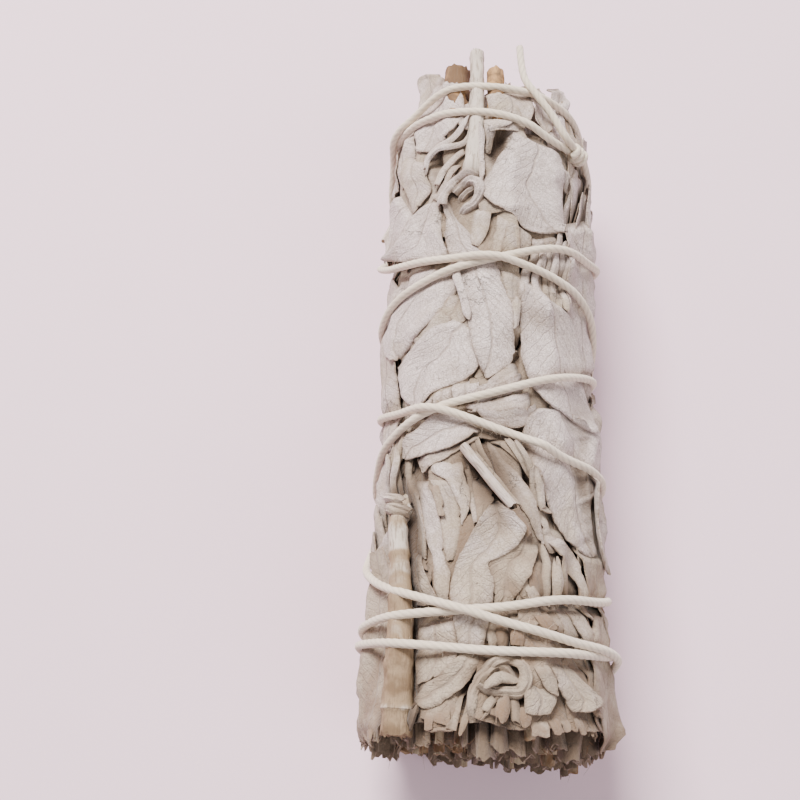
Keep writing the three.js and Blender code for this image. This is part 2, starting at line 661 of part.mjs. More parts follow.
// The route in even steps round the bunch, from the knot through every turn and back to the knot.
function stringRoute() {
  const hand = [[KNOT[1], KNOT[0]]];
  TURNS.forEach((turn, k) => turn.forEach((along, n) => {
    if (k > 0 || STATIONS[n] < KNOT[1]) hand.push([STATIONS[n] - 360 * k, along]);
  }));
  hand.push([STATIONS[0] - 360 * TURNS.length, KNOT[0] - 1.7], [KNOT[1] - 360 * TURNS.length, KNOT[0]]);
  const curve = new THREE.SplineCurve(hand.map(([around, along]) => new THREE.Vector2(around, along)));
  const fine = curve.getPoints(hand.length * 24);
  const last = hand[hand.length - 1][0];
  const steps = Math.round((KNOT[1] - last) / STRING_STEP);
  const places = [];
  let k = 0;
  for (let i = 0; i <= steps; i++) {
    const around = KNOT[1] + ((last - KNOT[1]) * i) / steps;
    while (k < fine.length - 2 && fine[k + 1].x > around) k++;
    const share = (around - fine[k].x) / (fine[k + 1].x - fine[k].x);
    const along = fine[k].y + (fine[k + 1].y - fine[k].y) * share;
    places.push({ along, sideways: across(around) });
  }
  return places;
}

function stringFloor(sideways) {
  const down = -Math.cos(sideways / ROUND);
  return down > 0.2 ? (AXIS_HEIGHT - HALF - 0.06) / down : Infinity;
}

// A taut string lies on the high leaves and spans the low ones.
function tautOut(along, sideways) {
  let out = 0;
  for (let d = -14; d <= 14; d += 4) {
    out = Math.max(out, surfaceAt(along, sideways + across(d)) * Math.cos(radians(d)));
  }
  return out;
}

function layString() {
  const places = stringRoute();
  places.forEach((p) => {
    p.rest = Math.min(tautOut(p.along, p.sideways) + HALF, stringFloor(p.sideways));
  });
  places.forEach((p, i) => {
    const near = [places[i - 1], p, places[i + 1]].filter(Boolean);
    p.out = near.reduce((s, q) => s + q.rest, 0) / near.length;
  });
  liftAtCrossings(places);
  places.forEach((p) => { p.out = Math.min(p.out, stringFloor(p.sideways)); });
  return places;
}

const layTail = (knotOut) => [{ along: KNOT[0], sideways: across(KNOT[1]), out: knotOut }, ...TAIL.map(
  ([along, around, up]) => ({
    along, sideways: across(around), out: surfaceAt(Math.min(along, 99), across(around)) + HALF + up,
  }),
)];

// Where the string comes back over itself it rides on the turn below.
function liftAtCrossings(places) {
  const apart = STRING_DIAMETER + 0.2;
  const turn = 2 * Math.PI * ROUND;
  const half = Math.round(180 / STRING_STEP);
  for (let i = half; i < places.length - 2; i++) {
    const [a, b] = [places[i], places[i + 1]];
    let need = 0;
    for (let j = 0; j <= i - half; j++) {
      const [c, d] = [places[j], places[j + 1]];
      for (let u = 0; u <= 1; u += 0.125) {
        for (let v = 0; v <= 1; v += 0.125) {
          const side = mix(a, b, u, 'sideways') - mix(c, d, v, 'sideways');
          const round = side - turn * Math.round(side / turn);
          const away = Math.hypot(mix(a, b, u, 'along') - mix(c, d, v, 'along'), round);
          if (away >= apart) continue;
          const over = Math.sqrt(apart * apart - away * away);
          need = Math.max(need, mix(c, d, v, 'out') + over - mix(a, b, u, 'out'));
        }
      }
    }
    a.out += need;
    b.out += need;
  }
}

// The winding, the knot and the tail, joined.
function stringSolid(winding, tail, margin) {
  const tubes = [winding, tail].map((places) => {
    const points = places.map((p) => place(p.along, p.sideways, p.out));
    return tubeSolid(points, points.map(() => HALF + margin), 6);
  });
  const knot = new THREE.IcosahedronGeometry(KNOT_RADIUS + margin, 1);
  const at = place(tail[0].along, tail[0].sideways, tail[0].out);
  return tubes[0].add(tubes[1]).add(solidOf(knot.translate(at.x, at.y, at.z)));
}

// ---- the bunch ------------------------------------------------------------------------------------------

const leafCream = new THREE.MeshStandardMaterial({ color: 0xcdc8c2, roughness: 0.95, metalness: 0 });
const barkTan = new THREE.MeshStandardMaterial({ color: 0xb49a7c, roughness: 0.9, metalness: 0 });
const cotton = new THREE.MeshStandardMaterial({ color: 0xe6e0d2, roughness: 0.95, metalness: 0 });

const bunch = new THREE.Group();

function add(name, solid, material) {
  const mesh = new THREE.Mesh(geometryOf(solid), material);
  mesh.name = name;
  bunch.add(mesh);
}

// The largest connected body of a solid; loose scraps are dropped.
function largest(solid) {
  const bodies = solid.decompose();
  bodies.sort((a, b) => b.volume() - a.volume());
  return bodies[0];
}

const sector = 360 / SPRIGS;

// A leaf belongs to the sprig of the piece it grows from, down to the packed inside of one sprig.
function ownerOf(leaf) {
  const parent = leaves.find((other) => other.order === leaf.parent);
  if (parent) return ownerOf(parent);
  const around = THREE.MathUtils.radToDeg(leaf.grid[0][0].sideways / ROUND) - FIRST_SPRIG;
  return Math.floor((((around % 360) + 360) % 360) / sector);
}

const winding = layString();
const tail = layTail(winding[0].out);
const stringBody = stringSolid(winding, tail, 0);
const stringRoom = stringSolid(winding, tail, GAP);
const stemBodies = stemsLaid.map((stem) => {
  return { name: stem.name, body: stemSolid(stem, 0), room: stemSolid(stem, GAP) };
});

leaves.forEach((leaf) => {
  leaf.owner = ownerOf(leaf);
  leaf.body = leafSolid(leaf, 0);
  leaf.room = leafSolid(leaf, GAP);
});

const overlaps = (a, b) => {
  const [p, q] = [a.boundingBox(), b.boundingBox()];
  return [0, 1, 2].every((k) => p.min[k] < q.max[k] && q.min[k] < p.max[k]);
};
const cutBy = (solid, rooms) => rooms.reduce((left, room) => {
  return overlaps(left, room) ? left.subtract(room) : left;
}, solid);

// What two sprigs would still share stays with the one made first.
const sprigs = [];
for (let k = 0; k < SPRIGS; k++) {
  const from = FIRST_SPRIG + k * sector;
  const others = leaves.filter((leaf) => leaf.owner !== k);
  let body = insideSolid(from, from + sector).add(sprigStem(from + sector / 2));
  body = cutBy(body, others.map((leaf) => leaf.room));
  for (const leaf of leaves.filter((l) => l.owner === k)) {
    body = body.add(cutBy(leaf.body, others.filter((o) => o.order > leaf.order).map((o) => o.room)));
  }
  body = cutBy(body, [...stemBodies.map((s) => s.room), stringRoom, ...sprigs]);
  sprigs.push(largest(body.trimByPlane([0, 0, 1], 0)));
  add(`sprig_${String(k + 1).padStart(2, '0')}`, sprigs[k], leafCream);
}
add('heart_sprig_left', heartSolid(-1), leafCream);
add('heart_sprig_right', heartSolid(1), leafCream);
stemBodies.forEach(({ name, body }) => add(name, largest(cutBy(body, [stringRoom])), barkTan));
add('string', stringBody, cotton);

export default bunch;
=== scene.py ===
"""Sage bunch: leaves, stems, string and cut ends of a dried herb bunch, laid round its packed middle.

A place on the bunch is (along, sideways, out) in mm. Along runs from the cut end to the leaf tips,
sideways goes round the bunch from the top of the lying bunch, at its mean radius, and out is the
distance from the centre line. In the lists a place is [along, around], with around in degrees.
Lengths are in mm and colours are linear, unless a comment says otherwise.
Pieces are laid one on the next: a height map holds how far out the last piece reaches, each new
piece is draped over it, and the map is raised by what was laid.
"""

import bpy
import numpy as np
from mathutils import Matrix


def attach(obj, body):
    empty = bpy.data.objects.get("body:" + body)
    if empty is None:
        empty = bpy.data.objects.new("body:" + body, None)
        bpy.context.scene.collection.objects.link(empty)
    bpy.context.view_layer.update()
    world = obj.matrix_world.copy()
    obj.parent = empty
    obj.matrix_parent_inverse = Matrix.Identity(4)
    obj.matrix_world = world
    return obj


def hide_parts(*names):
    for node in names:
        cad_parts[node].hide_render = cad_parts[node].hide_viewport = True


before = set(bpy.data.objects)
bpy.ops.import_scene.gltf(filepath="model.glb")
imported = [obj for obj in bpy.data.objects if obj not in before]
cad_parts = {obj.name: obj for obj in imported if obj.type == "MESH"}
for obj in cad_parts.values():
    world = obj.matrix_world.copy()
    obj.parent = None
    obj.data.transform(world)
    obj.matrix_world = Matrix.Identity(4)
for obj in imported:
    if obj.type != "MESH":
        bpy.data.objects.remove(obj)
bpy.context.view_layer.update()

# ---- the bunch: its main measures are those of its solids, and its stems are fitted to its leaves --

MM = 0.001                   # in the scene's metres
LENGTH = 104                 # cut end to leaf tips
AXIS_HEIGHT = 16.4           # centre line above the ground
# along, distance from the centre line: flared at the cut end, drawn in at the tips
GIRTH = [[-2, 16.9], [8, 16.8], [20, 16.3], [35, 15.6], [55, 15.5], [72, 15.9],
         [86, 16.0], [94, 15.4], [100, 14.2], [106, 12.6]]
ROUND = 16.5                 # mean radius, for turning degrees into mm round the bunch
TURN = 2 * np.pi * ROUND
DEPTH = 3.4                  # packed middle, below the outer leaves
FEET = [[22.5, 5.5], [43.5, 4.8], [69, 7]]   # along, half length of each stretch it rests on
FIRST_SPRIG = -84            # around, where sprig_01 begins
SPRIGS = 8
MIDDLE_RADIUS = 5.2          # of the two sprigs inside
FOOT = [0.85, 1.27]          # x and y of the middle of the whole bunch, which stands at the origin
STRING_DIAMETER = 1.25
STRING_RADIUS = STRING_DIAMETER / 2

# where each turn of the string lies along the bunch, at the same stations around it
STATIONS = [90, 60, 30, 0, -30, -60, -90, -135, -180, -225]
TURNS = [
    [88.5, 89.2, 90.6, 93.2, 94.8, 96.2, 96.8, 97.2, 97.5, 98.0],
    [98.3, 98.6, 98.9, 98.8, 99.6, 97.6, 95.0, 85.0, 79.6, 76.9],
    [74.5, 72.0, 70.8, 68.1, 66.5, 65.0, 62.8, 60.5, 58.5, 56.5],
    [55.0, 53.0, 50.3, 47.2, 45.0, 42.8, 40.6, 34.6, 28.4, 24.4],
    [21.8, 20.0, 19.0, 17.3, 16.6, 16.3, 15.8, 15.2, 14.6, 14.2],
    [13.9, 12.8, 12.2, 11.9, 12.4, 13.2, 13.6, 12.8, 11.6, 11.2],
    [11.8, 13.2, 13.9, 15.6, 18.2, 21.0, 25.0, 33.4, 35.6, 36.8],
    [37.8, 38.5, 39.2, 41.8, 44.6, 46.2, 48.0, 50.5, 53.5, 56.9],
    [60.0, 64.0, 66.2, 67.6, 68.6, 70.4, 74.0, 84.2, 86.6, 87.6],
]
KNOT = [90.3, 50]
KNOT_RADIUS = 1.7
# along, around and distance from the centre line, from the knot to the free end
TAIL = [[91.0, 38, 17.5], [94.8, 28, 17.1], [98.0, 19.8, 16.6], [100.8, 14.4, 16.0], [104.0, 12.2, 15.9],
        [106.9, 11.2, 16.0]]

# name, route, radius at each end of the route
TOP_STEMS = [                # laid last but a few leaves
    ["woody_stem_front", [[1.6, -46.5], [10, -46.5], [20, -48], [27, -51], [33.5, -55.5]], 2.1, 1.15],
    ["woody_stem_top", [[106.8, -14.5], [95, -13.6], [82, -15.4]], 1.15, 1.3],
]
DEEP_STEMS = [               # laid under the leaves
    ["stem_stub_brown", [[104.7, -30], [91, -27]], 2.1, 2.0],
    ["stem_stub_tan", [[102.8, -2.5], [91, -1.5]], 1.5, 1.3],
    ["woody_stem_side", [[3, 84], [30, 80], [54, 83]], 1.7, 1.1],
    ["woody_stem_back", [[2.4, 226], [40, 232], [84, 228]], 1.9, 1.2],
]

# ---- the camera ----------------------------------------------------------------------------------

EYE = np.array([-14.44, -57.64, 161.09])
LOOK_DOWN = np.radians(68.9)
ROLL = 0.04396               # in radians
VIEW = 800                   # its view is 800 steps wide and high
FOCAL = 1000                 # the lens in the same steps
SENSOR = 36
VIEW_SCALE = 5.9             # steps of the view for a mm of the bunch, near enough

# its own directions: ahead, and right and up in its view
look = np.array([0, np.cos(LOOK_DOWN), -np.sin(LOOK_DOWN)])
upright = np.cross([1, 0, 0], look)
view_right = np.cos(ROLL) * np.array([1, 0, 0]) + np.sin(ROLL) * upright
view_up = -np.sin(ROLL) * np.array([1, 0, 0]) + np.cos(ROLL) * upright

# ---- leaves laid at listed places, from the inside out -------------------------------------------
# Their places are "across,down" in the camera's view. sheet: its two long edges, each from base to
# tip. leaf, roll, ribbon and stalk: route, and greatest width in steps of the view.
# The last number is the colour of the piece: 0 grey, 0.5 straw, 1 brown.

# what shows between the broad leaves
UNDER = [
    ["sheet", "489,208 487,225 481,238 476,245 474,262", "497,210 494,230 491,252 492,265", 0.75],
    ["sheet", "499,208 495,230 491,252 491,266", "512,214 507,235 502,252 503,266", 0.4],
    ["sheet", "508,212 504,235 501,262", "534,222 535,245 532,262", 0.45],
    ["sheet", "500,262 502,275 507,292 511,303", "526,264 524,280 521,302", 0.42],
    ["roll", "517,300 517,310 517,326", 9, 0.35],
    ["sheet", "513,318 514,340 517,358", "523,318 523,340 523,362", 0.72],
    ["sheet", "452,282 442,302 426,325", "470,288 467,312 450,330", 0.45],
    ["sheet", "398,334 414,320 434,302", "410,354 430,337 452,318", 0.38],
    ["sheet", "488,384 470,372", "528,350 510,345", 0.68],
    ["sheet", "466,368 470,392", "490,366 488,390", 0.8],
    ["sheet", "428,384 430,412", "449,378 452,402", 0.25],
    ["sheet", "448,376 452,402", "477,372 480,398", 0.2],
    ["sheet", "402,398 404,418", "432,390 434,412", 0.3],
    ["sheet", "399,412 392,440 382,470", "410,418 404,440 396,470", 0.3],
    ["roll", "392,418 388,440 378,470 372,500", 7, 0.35],
    ["roll", "396,425 392,450 388,475 386,497", 6, 0.4],
    ["roll", "401,428 398,450 395,478 396,500", 6, 0.45],
    ["roll", "407,432 405,455 404,480 407,502", 7, 0.35],
    ["roll", "384,440 377,470 376,500", 5, 0.45],
    ["sheet", "372,500 371,530 370,560 372,590 368,615", "381,500 382,530 384,560 384,590 383,616", 0.15],
    ["sheet", "384,500 384,540 385,580 386,596", "391,500 391,540 390,580 389,596", 0.35],
    ["roll", "376,478 378,497 382,505 385,500", 5, 0.4],
    ["sheet", "406,472 411,490 416,507 419,525 422,540 428,553 430,575 434,600",
     "421,472 427,487 437,503 437,515 440,530 441,552 447,570 447,602", 0.1],
    ["sheet", "423,474 431,482 437,495 438,512 440,530 441,545 444,560",
     "441,474 449,482 454,493 458,505 460,518 458,538 454,555", 0.3],
    ["sheet", "428,478 433,495 438,515", "435,476 441,495 444,515", 0.75],
    ["sheet", "468,500 461,520 457,540 452,562", "473,502 474,528 467,545 459,562", 1],
    ["roll", "465,466 470,488 473,508 476,524", 6, 0.15],
    ["sheet", "472,468 474,498 477,522", "484,478 494,496 486,510", 0.62],
    ["roll", "473,442 480,462 492,480", 6, 0.35],
    ["roll", "478,440 486,460 496,478", 5, 0.5],
    ["sheet", "486,434 505,448 520,462", "498,432 516,446 530,458", 0.65],
    ["roll", "510,442 520,455 530,470", 6, 0.45],
    ["roll", "517,445 526,460 533,474 540,490", 5, 0.4],
    ["roll", "531,470 534,485 541,503", 5, 0.25],
    ["roll", "537,472 541,487 544,503", 6, 0.2],
    ["sheet", "541,496 543,510", "551,500 556,514", 0.55],
    ["sheet", "549,516 551,530 556,540", "563,520 570,532 574,542", 0.3],
    ["sheet", "539,507 545,525 548,540 556,553", "551,511 553,528 562,538 571,546", 0.2],
    ["sheet", "538,550 528,572 530,590 540,602", "546,551 548,575 551,600", 0.62],
    ["roll", "546,549 550,562 548,578 552,600", 7, 0.25],
    ["roll", "557,560 556,580 558,604", 10, 0.15],
    ["roll", "562,562 568,580 574,602", 7, 0.45],
    ["sheet", "584,470 584,500 588,535 591,556", "592,470 592,500 594,535 597,560", 0.55],
    ["sheet", "581,548 586,575 591,602", "594,560 598,580 601,602", 0.6],
    ["sheet", "594,472 588,500 588,520 591,545 594,562 604,572",
     "600,480 603,510 607,535 611,560 612,574", 0.05],
    ["roll", "589,472 590,488 592,502", 6, 0.35],
    ["roll", "604,568 606,585 608,604", 8, 0.35],
    ["sheet", "521,582 526,592 531,604", "527,574 536,590 542,602", 0.2],
    ["sheet", "512,606 513,618 520,624", "534,610 538,622 530,628", 0.4],
    ["sheet", "531,604 536,620 545,632", "548,604 550,618 556,630", 0.6],
    ["sheet", "546,603 553,622 560,636", "557,603 561,620 566,634", 0.5],
    ["sheet", "556,603 562,625 567,640", "568,603 576,622 586,640", 0.2],
    ["sheet", "568,603 577,624 588,645", "583,603 591,626 598,645", 0.15],
    ["sheet", "582,603 588,616 597,620", "608,603 612,615 612,630", 0.4],
    ["sheet", "588,617 592,630 600,644", "612,622 618,630 617,648", 0.1],
    ["sheet", "404,470 408,498 410,528 409,550", "413,486 418,510 421,535 419,558", 0.25],
    ["sheet", "409,548 411,562", "421,552 423,570", 0.85],
    ["sheet", "372,618 364,640 360,668 358,690 362,704", "385,618 384,650 383,685 381,700", 0.08],
    ["roll", "363,684 357,702 356,718 360,732 367,744", 8, 0.2],
    ["sheet", "374,680 367,700 365,716", "385,682 383,700 381,719", 0.45],
    ["roll", "375,716 375,728 376,736", 8, 0.4],
    ["roll", "366,716 369,727 373,738", 9, 0.3],
    ["roll", "412,706 409,718 407,727", 9, 0.45],
    ["sheet", "424,700 424,716 424,730", "434,702 434,716 433,729", 0.35],
    ["sheet", "432,700 433,722", "450,698 449,725", 0.4],
    ["sheet", "459,682 456,700 453,716 444,728", "467,682 461,700 459,718 456,731", 0.2],
    ["sheet", "424,722 424,731", "456,720 456,731", 0.25],
    ["roll", "468,700 465,716 462,730", 5, 0.3],
    ["roll", "497,696 488,705 483,714", 7, 0.35],
    ["sheet", "492,698 491,716", "502,698 501,718", 0.7],
    ["roll", "507,696 504,710 501,722", 9, 0.55],
    ["roll", "516,694 517,710 518,725", 8, 0.2],
    ["sheet", "530,712 530,737", "549,712 549,738", 0.15],
    ["roll", "526,712 526,724", 8, 0.6],
    ["sheet", "549,708 552,722 556,735", "558,708 562,722 565,734", 0.5],
    ["sheet", "560,710 563,722 568,733", "571,710 574,722 574,731", 0.35],
    ["sheet", "576,706 577,720 577,736", "585,706 586,720 587,735", 0.3],
    ["roll", "590,700 594,708 598,717", 9, 0.7],
    ["sheet", "569,660 578,672 588,686", "584,660 590,676 592,688", 0.6],
    ["sheet", "585,660 591,680 592,694 598,702", "593,662 601,676 602,690 601,702", 0.35],
    ["sheet", "600,676 605,690 605,712", "608,680 612,696 612,714", 0.4],
    ["sheet", "608,678 614,692 614,706", "618,678 620,692 619,706", 0.25],
    ["sheet", "592,660 600,672 608,678 617,679", "616,660 620,668 620,674 618,679", 0.05],
    ["leaf", "416,620 414,632 412,643", 16, 0.25],
    ["roll", "494,620 493,632 492,645", 10, 0.3],
    ["roll", "505,622 505,634 506,648", 9, 0.6],
    ["roll", "517,626 517,638 517,650", 11, 0.55],
    ["sheet", "523,632 524,650", "545,636 548,652", 0.45],
    ["sheet", "545,632 549,650", "562,636 566,652", 0.3],
    ["sheet", "396,118 398,150 400,190", "412,118 412,150 412,180", 0.3],
    ["sheet", "428,70 418,82 415,110 412,130", "432,71 446,82 448,100 440,125", 0.4],
    ["sheet", "484,92 489,110 486,132", "530,84 534,110 524,130", 0.38],
    ["sheet", "483,112 485,130 486,149", "516,112 511,125 495,132 490,148", 0.3],
    ["sheet", "553,86 552,110 551,145", "566,88 567,110 568,150", 0.05],
    ["sheet", "529,86 536,110 548,132", "543,86 550,104 553,130", 0.3],
    ["sheet", "567,96 569,120 575,150", "582,110 590,130 596,160", 0.4],
    ["leaf", "572,164 571,176 572,190", 9, 0.15],
    ["sheet", "426,158 424,172 428,188 424,204", "440,156 438,170 438,186 436,202", 0.35],
    ["sheet", "441,160 442,175 439,194", "453,158 452,172 447,192", 0.2],
    ["sheet", "578,160 576,190 571,200 570,250", "590,170 590,200 589,225 593,262", 0.12],
    ["sheet", "592,172 592,195 592,216", "604,190 603,205 600,222", 0.3],
    ["sheet", "594,215 596,240 599,268", "607,205 611,235 613,262", 0.38],
    ["sheet", "537,230 534,250 531,268", "560,226 561,250 560,266", 0.15],
    ["roll", "563,230 563,248 562,266", 7, 0.2],
    ["roll", "540,246 538,275 536,310", 8, 0.3],
    ["roll", "547,246 545,275 543,310", 8, 0.2],
    ["roll", "553,246 551,275 549,310", 8, 0.35],
    ["roll", "558,246 557,275 556,310", 8, 0.25],
    ["roll", "565,246 563,275 561,310", 8, 0.3],
    ["roll", "571,246 568.5,275 566,310", 8, 0.35],
    ["roll", "532,262 527,285 526,315", 10, 0.2],
    ["roll", "541,262 538,285 549,312", 8, 0.15],
]

# the broad leaves, and what lies on them
OVER = [
    ["sheet", "522,355 505,366 489,377 473,390", "529,370 510,381 494,388 478,398", 0.2],
    ["sheet", "527,368 508,379 492,387 468,404", "534,384 512,392 490,399 466,410", 0.12],
    ["sheet", "540,386 520,392 495,398 464,404", "541,402 521,410 500,412 466,410", 0.22],
    ["sheet", "545,396 530,406 505,410 474,408", "551,413 535,420 520,425 490,424", 0.08],
    ["sheet", "486,428 470,437 455,444 430,454 414,458", "485,432 470,443 455,451 436,462 421,473", 0.22],
    ["sheet", "466,408 432,416 416,430 404,444 402,458", "488,426 470,436 450,447 425,456 406,460", 0.03],
    ["sheet", "440,455 432,470 447,481 455,498 460,518", "459,453 464,474 469,492 468,508 461,525", 0.15],
    ["sheet", "484,432 492,455 500,478 512,497 527,516 544,543",
     "488,435 504,456 520,474 534,493 541,515 549,544", 0.08],
    ["roll", "474,452 486,468 502,487 518,506", 7, 0.45],
    ["stalk", "464,447 477,464 494,486 511,507", 9, 0.12],
    ["roll", "513,508 522,522 532,536", 8, 0.95],
    ["sheet", "520,528 507,548 489,560 492,580 496,604", "542,541 538,555 531,570 521,588 511,603", 0.42],
    ["sheet", "494,496 485,511 476,524 467,541 459,556 453,573 450,592 452,618 454,646",
     "498,500 512,514 525,531 516,546 500,557 489,563 493,580 492,610 484,646", 0.03],
    ["sheet", "414,612 412,640 411,670 413,686", "450,612 456,640 455,656 440,674", 0.1],
    ["sheet", "470,644 452,660 438,676 420,685 411,694 407,700",
     "488,648 476,668 462,686 446,698 436,705 424,709", 0.18],
    ["ribbon", "474,722 473,702 476,686 486,673 500,665 511,672 519,685", 9, 0.2],
    ["ribbon", "484,670 497,660 511,657 523,665 526,680 521,691 506,692 490,689 481,682", 9, 0.15],
    ["roll", "489,684 500,677 512,680", 8, 0.2],
    ["sheet", "528,678 523,697 524,716", "541,682 557,697 551,715", 0.05],
    ["sheet", "531,656 538,675 546,690 557,697", "544,656 551,671 557,684 559,696", 0.3],
    ["sheet", "550,656 556,675 560,690 567,702 573,713", "569,656 579,672 589,686 598,702 588,712", 0.03],
    ["sheet", "546,533 558,550 570,566 582,585 586,604", "556,533 571,543 582,555 585,570 594,602", 0.12],
    ["sheet", "570,410 574,440 575,470 575,500 580,540 586,566",
     "608,402 608,440 606,470 605,500 606,540 607,566", 0.4],
    ["sheet", "580,546 588,575 594,606", "606,550 609,580 611,608", 0.5],
    ["sheet", "548,402 524,424 525,440 533,460 546,492 556,512 572,540 590,556",
     "574,402 590,422 598,445 602,466 595,490 594,515 597,540 598,556", 0.04],
    ["sheet", "566,222 566,262 568,300 571,340 574,372", "604,222 608,262 610,300 609,340 606,372", 0.15],
    ["sheet", "527,272 522,300 523,340 524,362 531,380 539,392 550,404 566,405",
     "560,306 576,330 583,352 585,372 588,392 592,412 591,434 584,422", 0.03],
    ["sheet", "412,258 403,285 390,305 384,330 386,352 394,362",
     "468,258 454,288 444,301 434,316 419,331 397,358", 0.06],
    ["sheet", "465,311 440,321 424,332 409,345 396,360 394,380 400,400 410,406",
     "468,318 473,345 478,362 466,376 447,384 430,394 420,404 411,407", 0.03],
    ["sheet", "404,538 401,565 402,585 406,604", "412,548 418,565 427,583 438,604", 0],
    ["sheet", "400,192 388,212 383,235 380,262", "413,212 402,229 394,246 386,264", 0.03],
    ["sheet", "430,196 417,207 409,217 400,233 391,250 385,262",
     "438,192 441,212 441,225 443,240 447,254 408,262", 0.08],
    ["sheet", "458,154 446,170 440,185 430,197", "464,154 453,169 445,186 441,205", 0.3],
    ["sheet", "407,150 403,165 403,185 407,200 411,214", "424,156 425,175 429,188 421,200 413,212", 0.38],
    ["sheet", "440,80 430,96 420,112 414,128 413,140 415,152",
     "459,80 464,105 462,120 452,132 440,142 431,150", 0.03],
    ["sheet", "462,97 461,110 459,126", "472,95 472,108 467,130", 0.25],
    ["roll", "468,120 461,130 450,140 437,147 426,156", 6, 0.15],
    ["roll", "470,130 462,140 450,145 438,150 427,160 424,172", 6, 0.2],
    ["roll", "465,146 455,153 447,163 440,174 436,188", 6, 0.3],
    ["sheet", "441,188 442,205 445,220 444,236 448,255 452,272 460,296 466,318 473,348 480,366",
     "449,200 452,213 466,228 477,246 497,262 503,283 511,299 514,330 517,352 487,378", 0],
    ["roll", "451,255 457,278 463,297 468,315", 7, 0.05],
    ["leaf", "483,201 482,215 479,230 474,244", 16, 0.38],
    ["sheet", "517,122 509,141 498,156 487,174 479,185 486,198 498,208 512,214 526,226 540,230 552,231",
     "560,146 566,160 568,175 568,190 567,205 567,215 568,225 568,233", 0.02],
    ["roll", "482,126 481,150 484,179", 6, 0.1],
]

# what lies on the stems
LAST = [
    ["ribbon", "452,204 458,196 466,189 474,185", 8, 0.1],
    ["ribbon", "453,213 461,207 471,202 478,195 479,185 472,179 460,183 452,191", 9, 0.05],
    ["ribbon", "478,172 466,173 452,181 444,192 443,206", 8, 0.15],
    ["roll", "399,452 398,468 393,484 390,500", 8, 0.3],
    ["roll", "390,455 390,470 386,484 384,498", 7, 0.2],
    ["sheet", "590,470 589,500 592,520 595,545 599,562 607,574",
     "598,470 606,500 611,520 614,540 617,560 616,575", 0.08],
    ["ribbon", "388,514 397,510 408,513", 9, 0.25],
    ["ribbon", "388,504 397,500 407,503", 8, 0.2],
]

# dark gaps between the leaves: [along, around, half length, half width in mm]
HOLLOWS = [
    [49.2, -10, 1.8, 1.6], [51.5, 3, 1.8, 2.4], [55, 10, 4, 1.0], [42.2, 8, 1.0, 1.8],
    [77.5, 64, 3.2, 2.2], [82.5, 41, 1.8, 1.4], [88.5, -1, 4, 1.8], [84, -36, 3, 1.2],
    [7.5, -13, 4.5, 1.0], [31, -15, 4, 0.9], [20, 23, 3, 1.2], [45, 55, 1.2, 1.6], [65, -60, 2, 2],
    [32, -67, 2, 1.5], [36, 17, 3, 1.2], [67, 20, 5, 0.9], [59, 12, 3, 1],
]

# ---- leaves laid by rule -------------------------------------------------------------------------

SEED = 4711
ROWS_OF_LEAVES = [8, 19, 30, 41, 52, 63, 74, 85, 95]     # along
LEAVES_PER_ROW = 7
SIDES = [60, 282]            # around: from the right of the front, under the bunch, to its left
SLIP_SIDES = [100, 262]
FLANKS = [[-96, -66], [66, 96]]
INNER_ROLLS = 46
FLANK_LEAVES = 34
SLIPS = 90
FRONT_ROWS = [13, 32, 50, 68, 84]                        # along
FRONT_COLUMNS = [-94, -80, -64, -43, -22, 2, 24, 44, 60, 76, 92]    # around
SIDE_SAME_WAY = 22           # nearer to the cut end than this every leaf has its base towards it
FLANK_SAME_WAY = 24

rng = np.random.default_rng(SEED)


def strewn(i, limits, share=0.618):
    """The i-th of many places between two limits, evenly spread: low + (high - low) frac(i share)."""
    return limits[0] + (limits[1] - limits[0]) * ((i * share) % 1)


def bowed(base, middle, tip, around, lean, sway=5):
    """A route from base to tip that leans across the bunch, its middle up to sway degrees off the line."""
    return [[base, around - lean], [middle, around + rng.uniform(-sway, sway)], [tip, around + lean]]


def inner_rolls():
    """Long folded leaves all round, under everything."""
    for i in range(INNER_ROLLS):
        around = strewn(i, [0, 360])
        middle = rng.uniform(14, 92)
        half = rng.uniform(12, 26)
        lean = rng.uniform(-8, 8)
        low, high = max(0.8, middle - half), min(LENGTH - 3, middle + half)
        yield ["roll", bowed(low, middle, high, around, lean, 4),
               rng.uniform(1.6, 3.4), rng.uniform(0.4, 0.9)]


def front_fill():
    """Broad flat leaves under the front, so that no gap is deep."""
    for along in FRONT_ROWS:
        for around in FRONT_COLUMNS:
            middle, turned = along + rng.uniform(-4, 4), around + rng.uniform(-4, 4)
            half, lean = rng.uniform(10, 14), rng.uniform(-7, 7)
            high, low = min(middle + half, LENGTH - 6), max(middle - half, 3)
            yield ["plate", [[high, turned + lean], [middle, turned], [low, turned - lean]],
                   rng.uniform(7, 10), rng.uniform(0.35, 0.75)]


def side_leaves():
    """Rows of broad leaves round the sides, the back and the underside."""
    step = (SIDES[1] - SIDES[0]) / LEAVES_PER_ROW
    for row in ROWS_OF_LEAVES:
        for k in rng.permutation(LEAVES_PER_ROW):
            around = SIDES[0] + step * (k + 0.5) + rng.uniform(-12, 12)
            along = row + rng.uniform(-6, 6)
            half = rng.uniform(6, 13)
            lean = rng.uniform(-24, 24)
            flip = 1 if rng.random() < 0.5 or along < SIDE_SAME_WAY else -1
            base, tip = np.clip([along - flip * half, along + flip * half], 1, LENGTH - 1)
            kind = ["leaf", "plate"][int(rng.random() < 0.55)]
            yield [kind, bowed(base, along, tip, around, lean), rng.uniform(5.5, 10), rng.uniform(0, 0.35)]


